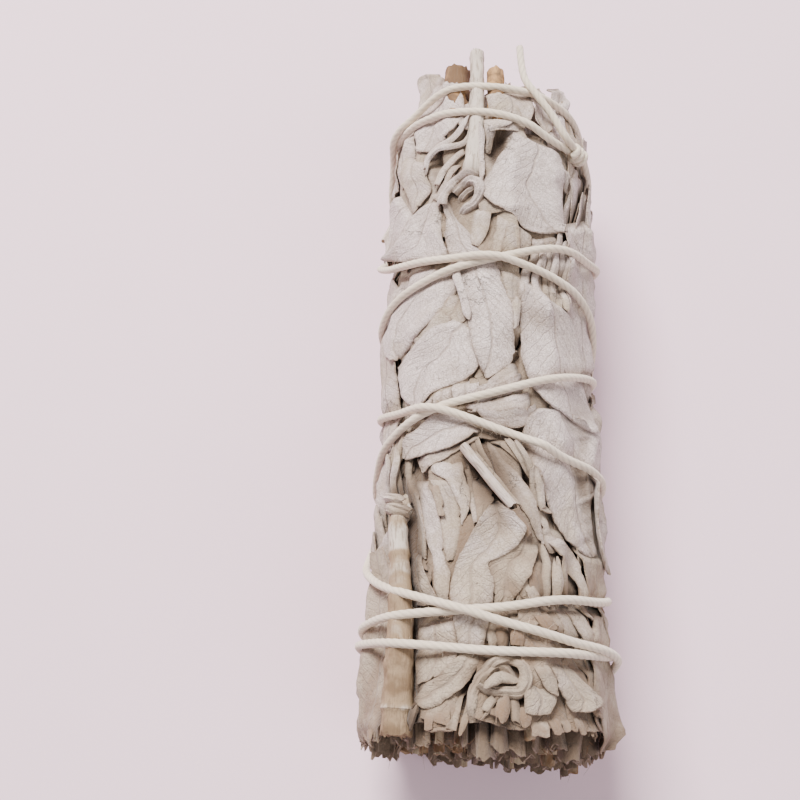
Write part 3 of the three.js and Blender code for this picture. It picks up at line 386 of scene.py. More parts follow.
def flank_leaves():
    """Long leaves down each side, where the front pieces end, in no order."""
    for i in rng.permutation(FLANK_LEAVES):
        around = strewn(i, FLANKS[i % 2])
        along = strewn(i, [10, LENGTH - 14], 0.755)
        half, lean = rng.uniform(8, 14), rng.uniform(-14, 14)
        flip = 1 if rng.random() < 0.5 or along < FLANK_SAME_WAY else -1
        base, tip = np.clip([along - flip * half, along + flip * half], 1, LENGTH - 5)
        yield ["leaf", bowed(base, along, tip, around, lean), rng.uniform(6, 11), rng.uniform(0, 0.35)]


def side_slips():
    """Narrow rolls, small leaves and stalks on and between the broad leaves."""
    for i in range(SLIPS):
        around = strewn(i, SLIP_SIDES)
        along = strewn(i, [4, LENGTH - 8], 0.755)
        half = rng.uniform(3, 11)
        lean = rng.uniform(-18, 18)
        kind = ["roll", "leaf", "stalk"][int(rng.choice(3, p=[0.6, 0.28, 0.12]))]
        width = {"roll": rng.uniform(1.4, 3), "leaf": rng.uniform(2.6, 5.5), "stalk": rng.uniform(0.8, 1.6)}
        low, high = max(0.8, along - half), min(LENGTH - 1, along + half)
        yield [kind, [[high, around + lean], [low, around - lean]], width[kind], rng.uniform(0, 0.6)]


# ---- places and routes ---------------------------------------------------------------------------

def across(around):
    """Degrees round the bunch as mm sideways: the angle in radians times the mean radius."""
    return np.radians(around) * ROUND


def girth(along):
    """How far out the bunch's surface lies, on straight lines between the measures."""
    return np.interp(along, *np.transpose(GIRTH))


def unit(a, least=0.0):
    """Each direction divided by its length, or by the least length allowed."""
    return a / np.maximum(np.linalg.norm(a, axis=-1, keepdims=True), least)


def length_of(line):
    """The length of a line of points: the sum of its steps."""
    return np.linalg.norm(np.diff(line, axis=0), axis=1).sum()


def run_along(line):
    """How far along the line each point lies."""
    return np.r_[0, np.cumsum(np.linalg.norm(np.diff(line, axis=0), axis=1))]


def place(along, sideways, out):
    """x = out sin a, y = along, z = axis height + out cos a, where a = sideways / mean radius."""
    a = sideways / ROUND
    return np.stack([out * np.sin(a) - FOOT[0], along - LENGTH / 2 - FOOT[1] + 0 * a,
                     AXIS_HEIGHT + out * np.cos(a)], -1) * MM


def away_from_axis(sideways):
    """The direction straight out from the centre line: (sin a, 0, cos a), a = sideways / mean radius."""
    a = sideways / ROUND
    return np.stack([np.sin(a), 0 * a, np.cos(a)], -1)


def ground_out(sideways, rise, steep=0.2):
    """How far out a point may lie before it is lower than rise mm under the centre line: rise divided
    by the cosine of its angle from straight down, and no limit where it faces up."""
    down = -np.cos(sideways / ROUND)
    return np.where(down > steep, rise / np.maximum(down, steep), 99)


def smooth_step(x):
    """From 0 to 1 as 3 x squared - 2 x cubed."""
    x = np.clip(x, 0, 1)
    return x * x * (3 - 2 * x)


def cubic_through(x, y, at):
    """Cubic pieces through the points y at x, with the mean slope of the chords at each, read at 'at'."""
    slope = np.gradient(y, x, axis=0)
    k = np.clip(np.searchsorted(x, at, side="right") - 1, 0, len(x) - 2)
    span = (x[k + 1] - x[k])[:, None]
    u = (at[:, None] - x[k][:, None]) / span
    return ((2 * u**3 - 3 * u**2 + 1) * y[k] + (u**3 - 2 * u**2 + u) * span * slope[k]
            + (3 * u**2 - 2 * u**3) * y[k + 1] + (u**3 - u**2) * span * slope[k + 1])


def smooth_line(points, steps):
    """Even steps on the cubic pieces through the points."""
    p = np.array(points, float)
    d = run_along(p)
    fine = cubic_through(d, p, np.linspace(0, d[-1], 16 * len(p)))
    run = run_along(fine)
    even = np.linspace(0, run[-1], steps)
    return np.stack([np.interp(even, run, fine[:, c]) for c in range(p.shape[1])], -1)


def seen(text):
    """Where the lines of sight meet a round bar as thick as the bunch; one that misses it gives the
    place it comes nearest to."""
    across_view, down_view = np.transpose([pair.split(",") for pair in text.split()]).astype(float)
    off = np.outer(across_view - VIEW / 2, view_right) - np.outer(down_view - VIEW / 2, view_up)
    sight = look + off / FOCAL
    start = EYE + [FOOT[0], 0, -AXIS_HEIGHT]
    along = 0
    flat = np.hypot(sight[:, 0], sight[:, 2])
    both = sight[:, 0] * start[0] + sight[:, 2] * start[2]
    for _ in range(6):       # the girth is that of the place found the time before
        beyond = start[0] ** 2 + start[2] ** 2 - (girth(along) + 0.6) ** 2
        far = -(both + np.sqrt(np.maximum(both**2 - flat**2 * beyond, 0))) / flat**2
        met = start + far[:, None] * sight
        along = met[:, 1] + LENGTH / 2 + FOOT[1]
    return np.stack([along, np.degrees(np.arctan2(met[:, 0], met[:, 2]))], -1)


def by_hand(pieces):
    """The listed pieces, with their places on the bunch and their widths in mm."""
    for kind, route, other, tone in pieces:
        yield [kind, seen(route), seen(other) if kind == "sheet" else other / VIEW_SCALE, tone]


def flat_route(points, steps=60):
    """A route of [along, around] places as a smooth line of (along, sideways)."""
    line = np.array(points, float)
    line[:, 1] = across(line[:, 1])
    return smooth_line(line, steps)


def guided(route, rows):
    """A smooth line, its direction at each point, and the direction square to that on the surface."""
    line = flat_route(route, rows)
    ahead = unit(np.gradient(line, axis=0))
    return line, ahead, np.stack([-ahead[:, 1], ahead[:, 0]], -1)


def ripple(x, y, size, waves=7):
    """A sum of sine waves in random directions, each about the given size in mm; its spread is 1."""
    turn = rng.uniform(0, 2 * np.pi, waves)
    k = 2 * np.pi / (size * rng.uniform(0.7, 1.5, waves))
    f = rng.uniform(0, 2 * np.pi, waves)
    phase = x[..., None] * k * np.cos(turn) + y[..., None] * k * np.sin(turn) + f
    return np.sin(phase).sum(-1) / np.sqrt(waves / 2)


# ---- the height map ------------------------------------------------------------------------------

CELL = 0.25
MAP_FROM = -4                # along
HOLLOW_DEPTH = 1.5
MAP_ROWS = int((LENGTH + 14) / CELL)
MAP_COLUMNS = int(round(TURN / CELL))
row_along = MAP_FROM + CELL * np.arange(MAP_ROWS)
column_sideways = np.arange(MAP_COLUMNS) * TURN / MAP_COLUMNS
MAP_ALONG, MAP_SIDEWAYS = np.meshgrid(row_along, column_sideways, indexing="ij")


def read(grid, along, sideways):
    """The grid's value at a place, weighted between its four cells; it closes round the bunch."""
    x = np.clip((along - MAP_FROM) / CELL, 0, MAP_ROWS - 1.001)
    y = (sideways / TURN * MAP_COLUMNS) % MAP_COLUMNS
    i, j = x.astype(int), y.astype(int)
    u, v = x - i, y - j
    j, k = j % MAP_COLUMNS, (j + 1) % MAP_COLUMNS
    return ((1 - u) * ((1 - v) * grid[i, j] + v * grid[i, k])
            + u * ((1 - v) * grid[i + 1, j] + v * grid[i + 1, k]))


def finer(a, k):
    """A grid with k - 1 more points on each edge of its squares."""
    n, m = a.shape
    rows = np.linspace(0, n - 1, (n - 1) * k + 1)
    i = np.minimum(rows.astype(int), n - 2)
    u = (rows - i)[:, None]
    a = a[i] * (1 - u) + a[i + 1] * u
    columns = np.linspace(0, m - 1, (m - 1) * k + 1)
    j = np.minimum(columns.astype(int), m - 2)
    v = columns - j
    return a[:, j] * (1 - v) + a[:, j + 1] * v


def raise_to(along, sideways, top):
    """The map takes the top of a laid piece wherever that is higher."""
    a, s, t = (finer(g, 3) for g in (along, sideways, top))
    i = np.clip(np.rint((a - MAP_FROM) / CELL).astype(int), 0, MAP_ROWS - 1)
    j = np.rint(s / TURN * MAP_COLUMNS).astype(int) % MAP_COLUMNS
    np.maximum.at(height, (i, j), t)


def blurred(grid, size):
    """The grid under a bell curve of that size in mm, closed round the bunch."""
    pad = int(3 * size / CELL)
    wide = np.pad(grid, ((pad, pad), (0, 0)), mode="edge")
    fi = np.fft.fftfreq(wide.shape[0], CELL)[:, None]
    fj = np.fft.rfftfreq(wide.shape[1], CELL)[None, :]
    bell = np.exp(-2 * (np.pi * size) ** 2 * (fi**2 + fj**2))
    return np.fft.irfft2(np.fft.rfft2(wide) * bell, s=wide.shape)[pad:-pad]


def spread(grid, size):
    """The highest value within that many mm, along and around."""
    steps = int(size / CELL)
    for _ in range(steps):
        grid = np.maximum(grid, np.maximum(np.roll(grid, 1, 1), np.roll(grid, -1, 1)))
        grid[1:-1] = np.maximum(grid[1:-1], np.maximum(grid[2:], grid[:-2]))
    return grid


def drape(floor, passes):
    """A stiff sheet on an uneven floor: each pass moves a point to the mean of its neighbours, and
    never below the floor."""
    h = floor.copy()
    for _ in range(passes):
        p = np.pad(h, 1, mode="edge")
        h = np.maximum(floor, 0.25 * (p[2:, 1:-1] + p[:-2, 1:-1] + p[1:-1, 2:] + p[1:-1, :-2]))
    return h


packed = np.tile((girth(row_along) - DEPTH)[:, None], (1, MAP_COLUMNS))
packed += 0.35 * np.abs(ripple(MAP_ALONG * 0.12, np.abs(MAP_SIDEWAYS - TURN / 2), 2.6))
# each gap is a dent: exp(-(distance to the fourth power)), in shares of its half length and width
hollow = np.zeros_like(packed)
for h_along, h_around, h_long, h_wide in HOLLOWS:
    off = MAP_SIDEWAYS - across(h_around)
    off -= TURN * np.rint(off / TURN)
    hollow += np.exp(-(((MAP_ALONG - h_along) / h_long) ** 2 + (off / h_wide) ** 2) ** 2)
hollow = np.minimum(hollow, 1)
packed -= HOLLOW_DEPTH * hollow
height = packed.copy()

# ---- laying pieces -------------------------------------------------------------------------------

LEAF = 0.3                   # thickness of a leaf
LIFT = 0.05                  # air under it
STEP = 0.4                   # grid of a leaf, and the steps of a stalk
RULE_STEP = 0.55             # grid of a leaf laid by rule
ROLL_STEP = 0.55             # lengthwise steps of a roll
RIBBON_STEP = 0.14
RIM = 0.4                    # how far in its worn edge reaches
SHOWS = 0.3                  # how far below the surface a leaf still shows
DIP = 1.3                    # how far a base goes down into what it grows from
BASE = 2.2                   # over what length
STANDS = 1.0                 # a fold higher than this doesn't lift what is laid on it
STIFF = 90                   # passes of draping for a broad leaf
LIMP = 30                    # and for a thread of one
ROLLS_SINK = 2.2             # how far the inner rolls sink into a gap
FILL_SINK = 1.6              # and the leaves that fill the front
ROUGH = {"sheet": 0.25, "plate": 0.3, "leaf": 0.12, "ribbon": 0.12}     # how torn the edges are

shells = []                  # every laid leaf: its middle surface and what its finish needs
rods = []                    # every laid stalk and stem


def edge_noise(steps, length, rough):
    """How an edge wanders: small waves, and short tears that only cut in."""
    t = np.linspace(0, length, steps)
    zero = np.zeros(steps)
    waves = 0.06 * ripple(t, zero, 5, 5) + 0.035 * ripple(t, zero, 1.6, 5)
    tears = np.clip(ripple(t, zero, 2.6, 5) - 1.1, 0, 2) * np.abs(ripple(t, zero, 0.9, 4))
    return waves - rough * tears


def outline(kind, t):
    """Share of the greatest width, from base (0) to tip (1): a hump of the sine, nearly down to a point
    at both ends of a leaf, and flatter in the other kinds."""
    if kind == "leaf":
        return 0.14 + 0.86 * np.sin(np.pi * (0.03 + 0.94 * t) ** 0.85) ** 0.62
    if kind == "roll":
        return 0.5 + 0.5 * np.sin(np.pi * (0.1 + 0.8 * t)) ** 0.8
    if kind == "ribbon":
        return 0.9 + 0.1 * np.sin(np.pi * t)
    return 0.84 + 0.16 * np.sin(np.pi * t)


def half_thickness(edge):
    """Half a leaf's thickness, which thins out over the last 0.3 mm to its edge."""
    return LEAF / 2 * np.sqrt(np.clip(edge / 0.3, 0.35, 1))


def ruled(left, right, columns):
    """Straight lines between two edges: left (1 - v) + right v."""
    v = np.linspace(0, 1, columns)[None, :, None]
    return left[:, None] * (1 - v) + right[:, None] * v


def lay_sheet(left, right, tone, deep):
    """A leaf between two edges that are given."""
    left_line, right_line = flat_route(left), flat_route(right)
    length = max(length_of(left_line), length_of(right_line))
    width = np.linalg.norm(right_line - left_line, axis=1).max()
    rows = max(5, int(length / STEP) + 1)
    columns = max(5, int(width / STEP) + 1)
    lay_between(flat_route(left, rows), flat_route(right, rows), columns, "sheet", tone, deep)


def lay_leaf(kind, route, width, tone, deep, step):
    """A leaf of a given outline along a route."""
    step = step if kind != "ribbon" else RIBBON_STEP
    rows = max(5, int(length_of(flat_route(route)) / 2 / step) * 2 + 1)
    columns = max(5, int(width / step) + 1)
    line, _, side = guided(route, rows)
    half = (width / 2 * outline(kind, np.linspace(0, 1, rows)))[:, None]
    lay_between(line - side * half, line + side * half, columns, kind, tone, deep, step)


def lay_between(left, right, columns, kind, tone, deep, step=STEP):
    """A leaf between two edges, over what lies there: draped, then cupped, creased, wrinkled and
    curled at its edges, with its base bent down. It goes on the pile and on the height map."""
    rows = len(left)
    length = length_of((left + right) / 2)

    # its outline, torn at both edges and at the tip
    outwards = unit(right - left, 1e-6)
    left = left - outwards * edge_noise(rows, length, ROUGH[kind])[:, None]
    right = right + outwards * edge_noise(rows, length, ROUGH[kind])[:, None]
    grid = ruled(left, right, columns)
    v = np.linspace(-1, 1, columns)[None, :]
    t = np.linspace(0, 1, rows)[:, None]
    wide = np.linalg.norm(right - left, axis=1)[:, None]
    width = wide.mean()
    ahead = unit(np.gradient(grid, axis=0), 1e-6)
    torn = edge_noise(columns, width, ROUGH[kind] * 1.8)
    if kind != "leaf":
        torn = torn - min(0.9, 0.08 * width) * v**6
    grid = grid + ahead * (torn * smooth_step(1 - (1 - t) * length / 2.5))[..., None]
    along, sideways = grid[..., 0], grid[..., 1]
    run = t * length
    edge = np.minimum((1 - np.abs(v)) * wide / 2, np.minimum(run + 0.3, length - run))

    # draped over what lies there, waved, wrinkled and cupped
    bed = read(height, along, sideways)
    broad = min(1, width / 6)
    h = drape(bed + LIFT + LEAF / 2, int((LIMP + (STIFF - LIMP) * broad) * min(1, STEP / step) ** 2))
    x, y = v * wide / 2, run + 0 * v
    h = h + 0.07 * ripple(x, y, 6) * broad + 0.022 * ripple(x * 1.7, y * 0.7, 1.4)
    h += rng.uniform(-0.2, 0.35) * (x / np.maximum(width / 2, 1)) ** 2 * broad
    if kind == "ribbon":     # pleated lengthwise, and round on top
        pleats = np.cos(2 * np.pi * (1.25 * v + 0.1 * ripple(y, 0 * y, 5)))
        h = h.mean(1, keepdims=True) + 0.75 * (1 - np.abs(v) ** 3) - 0.25 + 0.13 * pleats
    for _ in range(int(rng.integers(2, 5))):
        h += crease(x, y, width, length)
    if kind == "leaf":       # a midrib, with a furrow on each side
        h += 0.09 * np.exp(-((x / 0.3) ** 2)) - 0.10 * np.exp(-((np.abs(x) - 0.5) / 0.28) ** 2)

    # each edge bent up or down round an arc: height r (1 - cos), and drawn in by the arc less its sine
    curled = min(1.8, 0.3 * width)
    r = curled * 0.8 + 0.3
    drawn_in = np.zeros_like(h)
    for side in (-1, 1):
        bend = rng.choice([-0.8, -0.4, 0.0, 0.0, 0.3, 0.6])
        reach = curled * rng.uniform(0.5, 1.0) * (0.75 + 0.25 * ripple(y, 0 * y, 7, 3))
        d = np.clip(reach - (1 - side * v) * wide / 2, 0, None)
        h += bend * r * (1 - np.cos(np.clip(d / r, 0, 2)))
        drawn_in -= side * (d - r * np.sin(np.clip(d / r, 0, 2))) * abs(bend)
    outwards = unit(right - left, 1e-6)
    along = along + outwards[:, :1] * drawn_in
    sideways = sideways + outwards[:, 1:] * drawn_in

    # its base goes down into what it grows from, and a deep leaf into the gaps
    h -= DIP * (1 - smooth_step(run / BASE)) + deep * read(hollow, along, sideways)
    half = half_thickness(edge)
    shells.append(dict(along=along, sideways=sideways, out=h, half=half, tone=tone,
                       x=x, y=y, edge=edge, veins=1.0 if width > 3 else 0.4))
    raise_to(along, sideways, np.minimum(h, drape(bed, 3) + STANDS) + half)


def crease(x, y, wide, length):
    """A sharp fold across or along a leaf: depth times exp(-distance / 0.35 mm), on a wavy line that
    dies out as exp(-(run / 5 mm) squared)."""
    turn = rng.choice([rng.normal(0, 0.35), rng.uniform(0, np.pi)])
    px, py = rng.uniform(-0.35, 0.35) * wide, rng.uniform(0.15, 0.9) * length
    away = (x - px) * np.cos(turn) - (y - py) * np.sin(turn)
    away = away + 0.25 * np.sin(((x - px) * np.sin(turn) + (y - py) * np.cos(turn)) * 1.3)
    down = (x - px) * np.sin(turn) + (y - py) * np.cos(turn)
    return rng.uniform(-0.22, 0.16) * np.exp(-np.abs(away) / 0.35) * np.exp(-((down / 5) ** 2))


def lay_roll(route, width, tone, deep):
    """A leaf rolled lengthwise and pressed flat: an arc of a shrinking circle carried along a route,
    with pleats, and turning a little on itself as it goes."""
    length = length_of(flat_route(route))
    rows = max(6, int(length / ROLL_STEP) + 1)
    line, ahead, side = guided(route, rows)
    t = np.linspace(0, 1, rows)[:, None]
    run = t * length
    line = line + side * (0.10 * ripple(run[:, 0], 0 * run[:, 0], 7, 4))[:, None]

    # its section: from one lip of its opening round to the other, drawn in by a third and pleated
    opening = rng.uniform(0.2, 0.85) * np.pi
    turned = rng.uniform(-0.9, 0.9)
    turned = turned + rng.uniform(0.1, 0.6) * np.sin(run / rng.uniform(4, 9) + rng.uniform(0, 6))
    sides = max(11, int(width * 6))
    share = np.linspace(0, 1, sides)[None, :]
    a0 = np.pi / 2 + turned - np.pi + opening / 2
    a = a0 + share * (2 * np.pi - opening)
    r = width / 2 * outline("roll", t) * (1 + 0.07 * ripple(run + 0 * a, share + 0 * run, 4))
    inward = 1 - 0.34 * share**1.5
    flat = rng.uniform(0.42, 0.66)
    pleat = share * rng.uniform(7, 12) + 0.6 * np.sin(run * 0.5) + rng.uniform(0, 6)
    pleat = min(0.11 * width, 0.3) * (np.abs(np.sin(pleat)) - 0.6)
    x = (r * inward + pleat) * np.cos(a)
    z = flat * (r * inward + pleat) * np.sin(a)
    # ragged ends
    ends = 0.45 * ripple(a * r, 0 * r + 0 * a, 1.6) * (smooth_step(t * 4 - 3) - smooth_step(1 - t * 4))
    along = line[:, :1] + side[:, :1] * x + ahead[:, :1] * ends
    sideways = line[:, 1:] + side[:, 1:] * x + ahead[:, 1:] * ends

    # laid on the highest of the places under it
    w = np.linspace(-0.7, 0.7, 5)[None, :] * width / 2
    bed = read(height, line[:, :1] + side[:, :1] * w, line[:, 1:] + side[:, 1:] * w).max(1)[:, None]
    centre = drape(bed, 20) + flat * width / 2 * 0.85
    out = centre + z - deep * read(hollow, along, sideways)
    edge = np.minimum(np.minimum(run, length - run), np.minimum(share, 1 - share) * width * 2.5)
    half = half_thickness(edge)
    shells.append(dict(along=along, sideways=sideways, out=out, half=half, tone=tone,
                       x=(share - 0.5) * width * 2.5 + 0 * run, y=run + 0 * a, edge=edge, veins=0.3))
    upper = np.abs(a - np.pi / 2).mean(0) < 1.5
    if upper.sum() > 1:
        raise_to(along[:, upper], sideways[:, upper], out[:, upper] + half[:, upper])


def lay_stalk(route, width, tone, name=None, tip=None):
    """A round stalk or stem over what lies under it, a little sunk, its radius going evenly from one
    end to the other. One with a name stays straight; tip is its radius at the end of its route."""
    length = length_of(flat_route(route))
    rows = max(8, int(length / STEP) + 1)
    line, _, side = guided(route, rows)
    t = np.linspace(0, 1, rows)
    radius = width / 2 + ((tip if tip else width / 2 * 0.85) - width / 2) * t
    w = np.linspace(-1, 1, 5)[None, :]
    under_along = line[:, :1] + side[:, :1] * w * radius[:, None]
    under_sideways = line[:, 1:] + side[:, 1:] * w * radius[:, None]
    bed = read(height, under_along, under_sideways).max(1)
    if name:                 # a straight line through the places under it
        fit = np.polyfit(line[:, 0], bed, 1)
        out = np.polyval([np.clip(fit[0], -0.05, 0.05), 0], line[:, 0])
        out += bed.mean() - out.mean() + 0.35 * radius
    else:
        out = drape(bed[:, None], 60)[:, 0] + 0.7 * radius
    rods.append(dict(along=line[:, 0], sideways=line[:, 1], out=out, radius=radius, tone=tone,
                     name=name, length=length))
    crown = radius[:, None] * np.sqrt(np.clip(1 - w**2, 0, 1))
    raise_to(under_along, under_sideways, out[:, None] + crown)


def lay(pieces, deep=0.0, step=STEP):
    """Each piece in turn, on those before it. Deep is how far it sinks into a gap between the leaves."""
    for kind, *rest in pieces:
        if kind == "sheet":
            lay_sheet(*rest, deep)
        elif kind in ("leaf", "plate", "ribbon"):
            lay_leaf(kind, *rest, deep, step)
        elif kind == "roll":
            lay_roll(*rest, deep)
        else:
            lay_stalk(*rest)


def lay_stems(stems):
    """Stems with names. Their colours come later, from STEM_TONES."""
    for name, route, thick, thin in stems:
        lay_stalk(route, 2 * thick, None, name, thin)


# from the inside out, as each piece lies on those before it
lay(inner_rolls(), deep=ROLLS_SINK)
lay_stems(DEEP_STEMS)
lay(front_fill(), deep=FILL_SINK, step=RULE_STEP)
lay(by_hand(UNDER))
for pieces in (side_leaves(), side_slips(), flank_leaves()):
    lay(pieces, step=RULE_STEP)
lay(by_hand(OVER))
lay_stems(TOP_STEMS)
lay(by_hand(LAST))

# ---- pressing: the mean surface takes the bunch's girth, and nothing goes through the ground -------

# how far above the ground each keeps
LEAVES_CLEAR = 0.15
LEAF_MIDDLE_CLEAR = 0.4
STEM_CLEAR = 0.1
STRING_CLEAR = 0.08
BITE = 0.5                   # how deep the string presses into the leaves

EVENED = 3.0                 # unevenness wider than this is pressed out
PROUD = 0.25                 # how far the leaves' mean surface then lies outside the girth
FOOT_EDGE = 3                # length over which a foot begins
STRING_ROOM = STRING_DIAMETER + 0.25    # kept clear under the bunch, but not where it stands

# what is added to the distance from the centre line at each place
level = girth(MAP_ALONG) - blurred(height, EVENED) + PROUD
foot = np.max([1 - smooth_step((np.abs(MAP_ALONG - middle) - half) / FOOT_EDGE)
               for middle, half in FEET], axis=0)
floor_out = ground_out(MAP_SIDEWAYS, AXIS_HEIGHT - LEAVES_CLEAR - (1 - foot) * STRING_ROOM)


# ---- the string's route, and how it presses into the leaves --------------------------------------

def string_route():
    """along as a smooth function of around, one step a degree, from the knot through every turn and
    past the knot to its start."""
    hand = [[KNOT[1], KNOT[0]]]
    for k, turn in enumerate(TURNS):
        hand += [[s - 360 * k, a] for s, a in zip(STATIONS, turn) if k or s < KNOT[1]]
    hand += [[90 - 360 * len(TURNS), KNOT[0] - KNOT_RADIUS], [KNOT[1] - 360 * len(TURNS), KNOT[0]]]
    x, y = np.transpose(hand)
    x = -x
    around = np.arange(x[0], x[-1] + 0.01, 1.0)
    return cubic_through(x, y[:, None], around)[:, 0], across(-around)


string_along, string_sideways = string_route()
# the cells under the string, spread to its width and blurred
marked = np.zeros_like(height)
marked[np.rint((string_along - MAP_FROM) / CELL).astype(int),
       np.rint(string_sideways / TURN * MAP_COLUMNS).astype(int) % MAP_COLUMNS] = 1
bite = blurred(spread(marked, 0.5), 0.7)
bite = BITE * np.clip(bite / bite.max() * 1.6, 0, 1)

# pressed in by the ground and by the string
over = np.maximum(0, height + level - floor_out)
level = level - over - bite
# the leaves' surface after that, and a smooth skin over it
surface = height + level
envelope = blurred(spread(surface, 1.5), 0.8)


def pressed(along, sideways, out):
    """How far out a place lies after pressing, kept above the ground."""
    return np.minimum(out + read(level, along, sideways),
                      ground_out(sideways, AXIS_HEIGHT - LEAF_MIDDLE_CLEAR, 0.15))


# ---- meshes --------------------------------------------------------------------------------------

def grid_faces(rows, columns, flip):
    """Four-cornered faces of a grid of points, turned round where flip says so."""
    i, j = np.meshgrid(np.arange(rows - 1), np.arange(columns - 1), indexing="ij")
    k = (i * columns + j).ravel()
    faces = np.stack([k, k + columns, k + columns + 1, k + 1], -1)
    return faces[:, ::-1] if flip else faces


def ring_faces(rows, sides, flip=False):
    """Faces of a closed bar: between its rings, and from each end ring to the point in its middle."""
    n = rows * sides
    k = np.arange(n).reshape(rows, sides)
    after = np.roll(k, -1, 1)
    quads = np.stack([k[:-1], after[:-1], after[1:], k[1:]], -1).reshape(-1, 4)
    tris = np.concatenate([np.stack([k[0], np.full(sides, n), after[0]], -1),
                           np.stack([after[-1], np.full(sides, n + 1), k[-1]], -1)])
    return (quads[:, [0, 3, 2, 1]], tris[:, [0, 2, 1]]) if flip else (quads, tris)


def shell_mesh(middle, outward, half, values, spot):
    """Both faces of a leaf, half its thickness along the normal each way, and the rim that joins them.
    outward says which way its middle line of points faces."""
    rows, columns = middle.shape[:2]
    normal = unit(np.cross(np.gradient(middle, axis=0), np.gradient(middle, axis=1)), 1e-12)
    mid = columns // 2
    flip = bool((normal[:, mid] * outward[:, mid]).sum(-1).mean() < 0)
    if flip:
        normal = -normal
    half = (half + np.zeros((rows, columns)))[..., None] * MM
    points = np.concatenate([(middle + normal * half).reshape(-1, 3),
                             (middle - normal * half).reshape(-1, 3)])
    n = rows * columns
    k = np.arange(n).reshape(rows, columns)
    rims = []
    for line, turned in ((k[:, 0], 0), (k[:, -1], 1), (k[0, ::-1], 0), (k[-1, ::-1], 1)):
        rim = np.stack([line[:-1], line[:-1] + n, line[1:] + n, line[1:]], -1)
        rims.append(rim[:, ::-1] if turned ^ flip else rim)
    faces = np.concatenate([grid_faces(rows, columns, flip), grid_faces(rows, columns, not flip) + n, *rims])
    made = {key: np.tile((value + np.zeros((rows, columns))).ravel(), 2) for key, value in values.items()}
    return dict(points=points, faces=faces, spot=np.tile(spot.reshape(-1, 3), (2, 1)), **made)


def kept(shown):
    """Of the rows or columns of a leaf's grid, all that show or are next to one that does, and every
    third of those that lie buried."""
    near = np.convolve(shown, [1, 1, 1], "same") > 0
    near[::3] = near[-1] = True
    return np.flatnonzero(near)


def laid_shell(s):
    """A laid leaf in its pressed place, with its depth below the leaves round it."""
    out = pressed(s["along"], s["sideways"], s["out"])
    shown = out + s["half"] > read(surface, s["along"], s["sideways"]) - SHOWS
    grid = np.ix_(kept(shown.any(1)), kept(shown.any(0)))
    along, sideways, half = (s[key][grid] for key in ("along", "sideways", "half"))
    x, y, edge = (s[key][grid] for key in ("x", "y", "edge"))
    out = out[grid]
    spot = np.stack([x, y, 0 * x + rng.uniform(0, 90)], -1)
    # its depth below the leaves round it, which the finish turns into painted shade
    values = dict(tone=s["tone"], deep=read(envelope, along, sideways) - out,
                  rim=np.exp(-np.maximum(edge, 0) / RIM), veins=s["veins"])
    return shell_mesh(place(along, sideways, out), away_from_axis(sideways), half, values, spot)


CAP_RINGS = [0.3, 0.62, 0.9]      # share of the radius of each ring on the cut end of a bar
CAP_DEPTHS = [0.5, 0.35, 0.02]    # how far in each lies, in shares of the radius
CAP = len(CAP_RINGS)


def with_caps(rows):
    """Which place of a bar's path each of its rings stands at, with those of the cut ends."""
    return np.r_[np.zeros(CAP, int), np.arange(rows), np.full(CAP, rows - 1)]


def rod_mesh(path, up, radius, tone, cut=0.3):
    """A closed bar: a ring of points at each place of the path, square to it, and a point at each end.
    Each ring is radius(turn) (cos turn N + sin turn B), with N nearest to up and B square to both.
    At each end smaller rings go a little way in, to the pith, and cut is how deep and uneven they are."""
    rows, sides = radius.shape
    at = with_caps(rows)
    ahead = unit(np.gradient(path, axis=0))
    normal = unit(up - (up * ahead).sum(1)[:, None] * ahead)
    other = np.cross(ahead, normal)
    share = np.r_[CAP_RINGS, np.ones(rows), CAP_RINGS[::-1]][:, None]
    sunk = np.r_[CAP_DEPTHS, np.zeros(rows), -np.array(CAP_DEPTHS[::-1])][:, None] * radius[at] * cut
    uneven = rng.normal(0, 0.10, (rows + 2 * CAP, sides)) * radius[at] * cut * 3
    uneven[CAP + 1:-CAP - 1] = 0
    radius = radius[at] * share
    shift = sunk + uneven
    turn = 2 * np.pi * np.arange(sides) / sides
    ring = (np.cos(turn)[None, :, None] * normal[at][:, None]
            + np.sin(turn)[None, :, None] * other[at][:, None])
    points = path[at][:, None] + ring * radius[..., None] + ahead[at][:, None] * shift[..., None]
    run = run_along(path)[at][:, None] / MM
    faces, tris = ring_faces(len(at), sides)
    poles = np.stack([points[0].mean(0), points[-1].mean(0)])
    points = np.concatenate([points.reshape(-1, 3), poles])
    ends = np.r_[np.ones(CAP), np.zeros(rows), np.ones(CAP)][:, None]
    seed = rng.uniform(0, 90)
    spot = np.stack([radius / MM * np.cos(turn), run + 0 * radius, radius / MM * np.sin(turn) + seed], -1)
    tone = (np.asarray(tone) + np.zeros(rows))[at][:, None]

    def with_poles(value):
        """The value at each point of each ring, and at the two end points."""
        return np.r_[(value + 0 * radius).ravel(), value[0].ravel()[:1], value[-1].ravel()[:1]]

    return dict(points=points, faces=faces, tris=tris, tone=with_poles(tone), cut=with_poles(ends),
                spot=np.concatenate([spot.reshape(-1, 3), spot[0, :1], spot[-1, :1]]))


LOWEST = 0.02 * MM           # nothing goes through the ground
SHARP = np.radians(50)       # faces that meet at more than this keep a sharp edge
LEAF_VALUES = ("tone", "deep", "rim", "veins", "spot")
BARK_VALUES = ("tone", "cut", "spot")


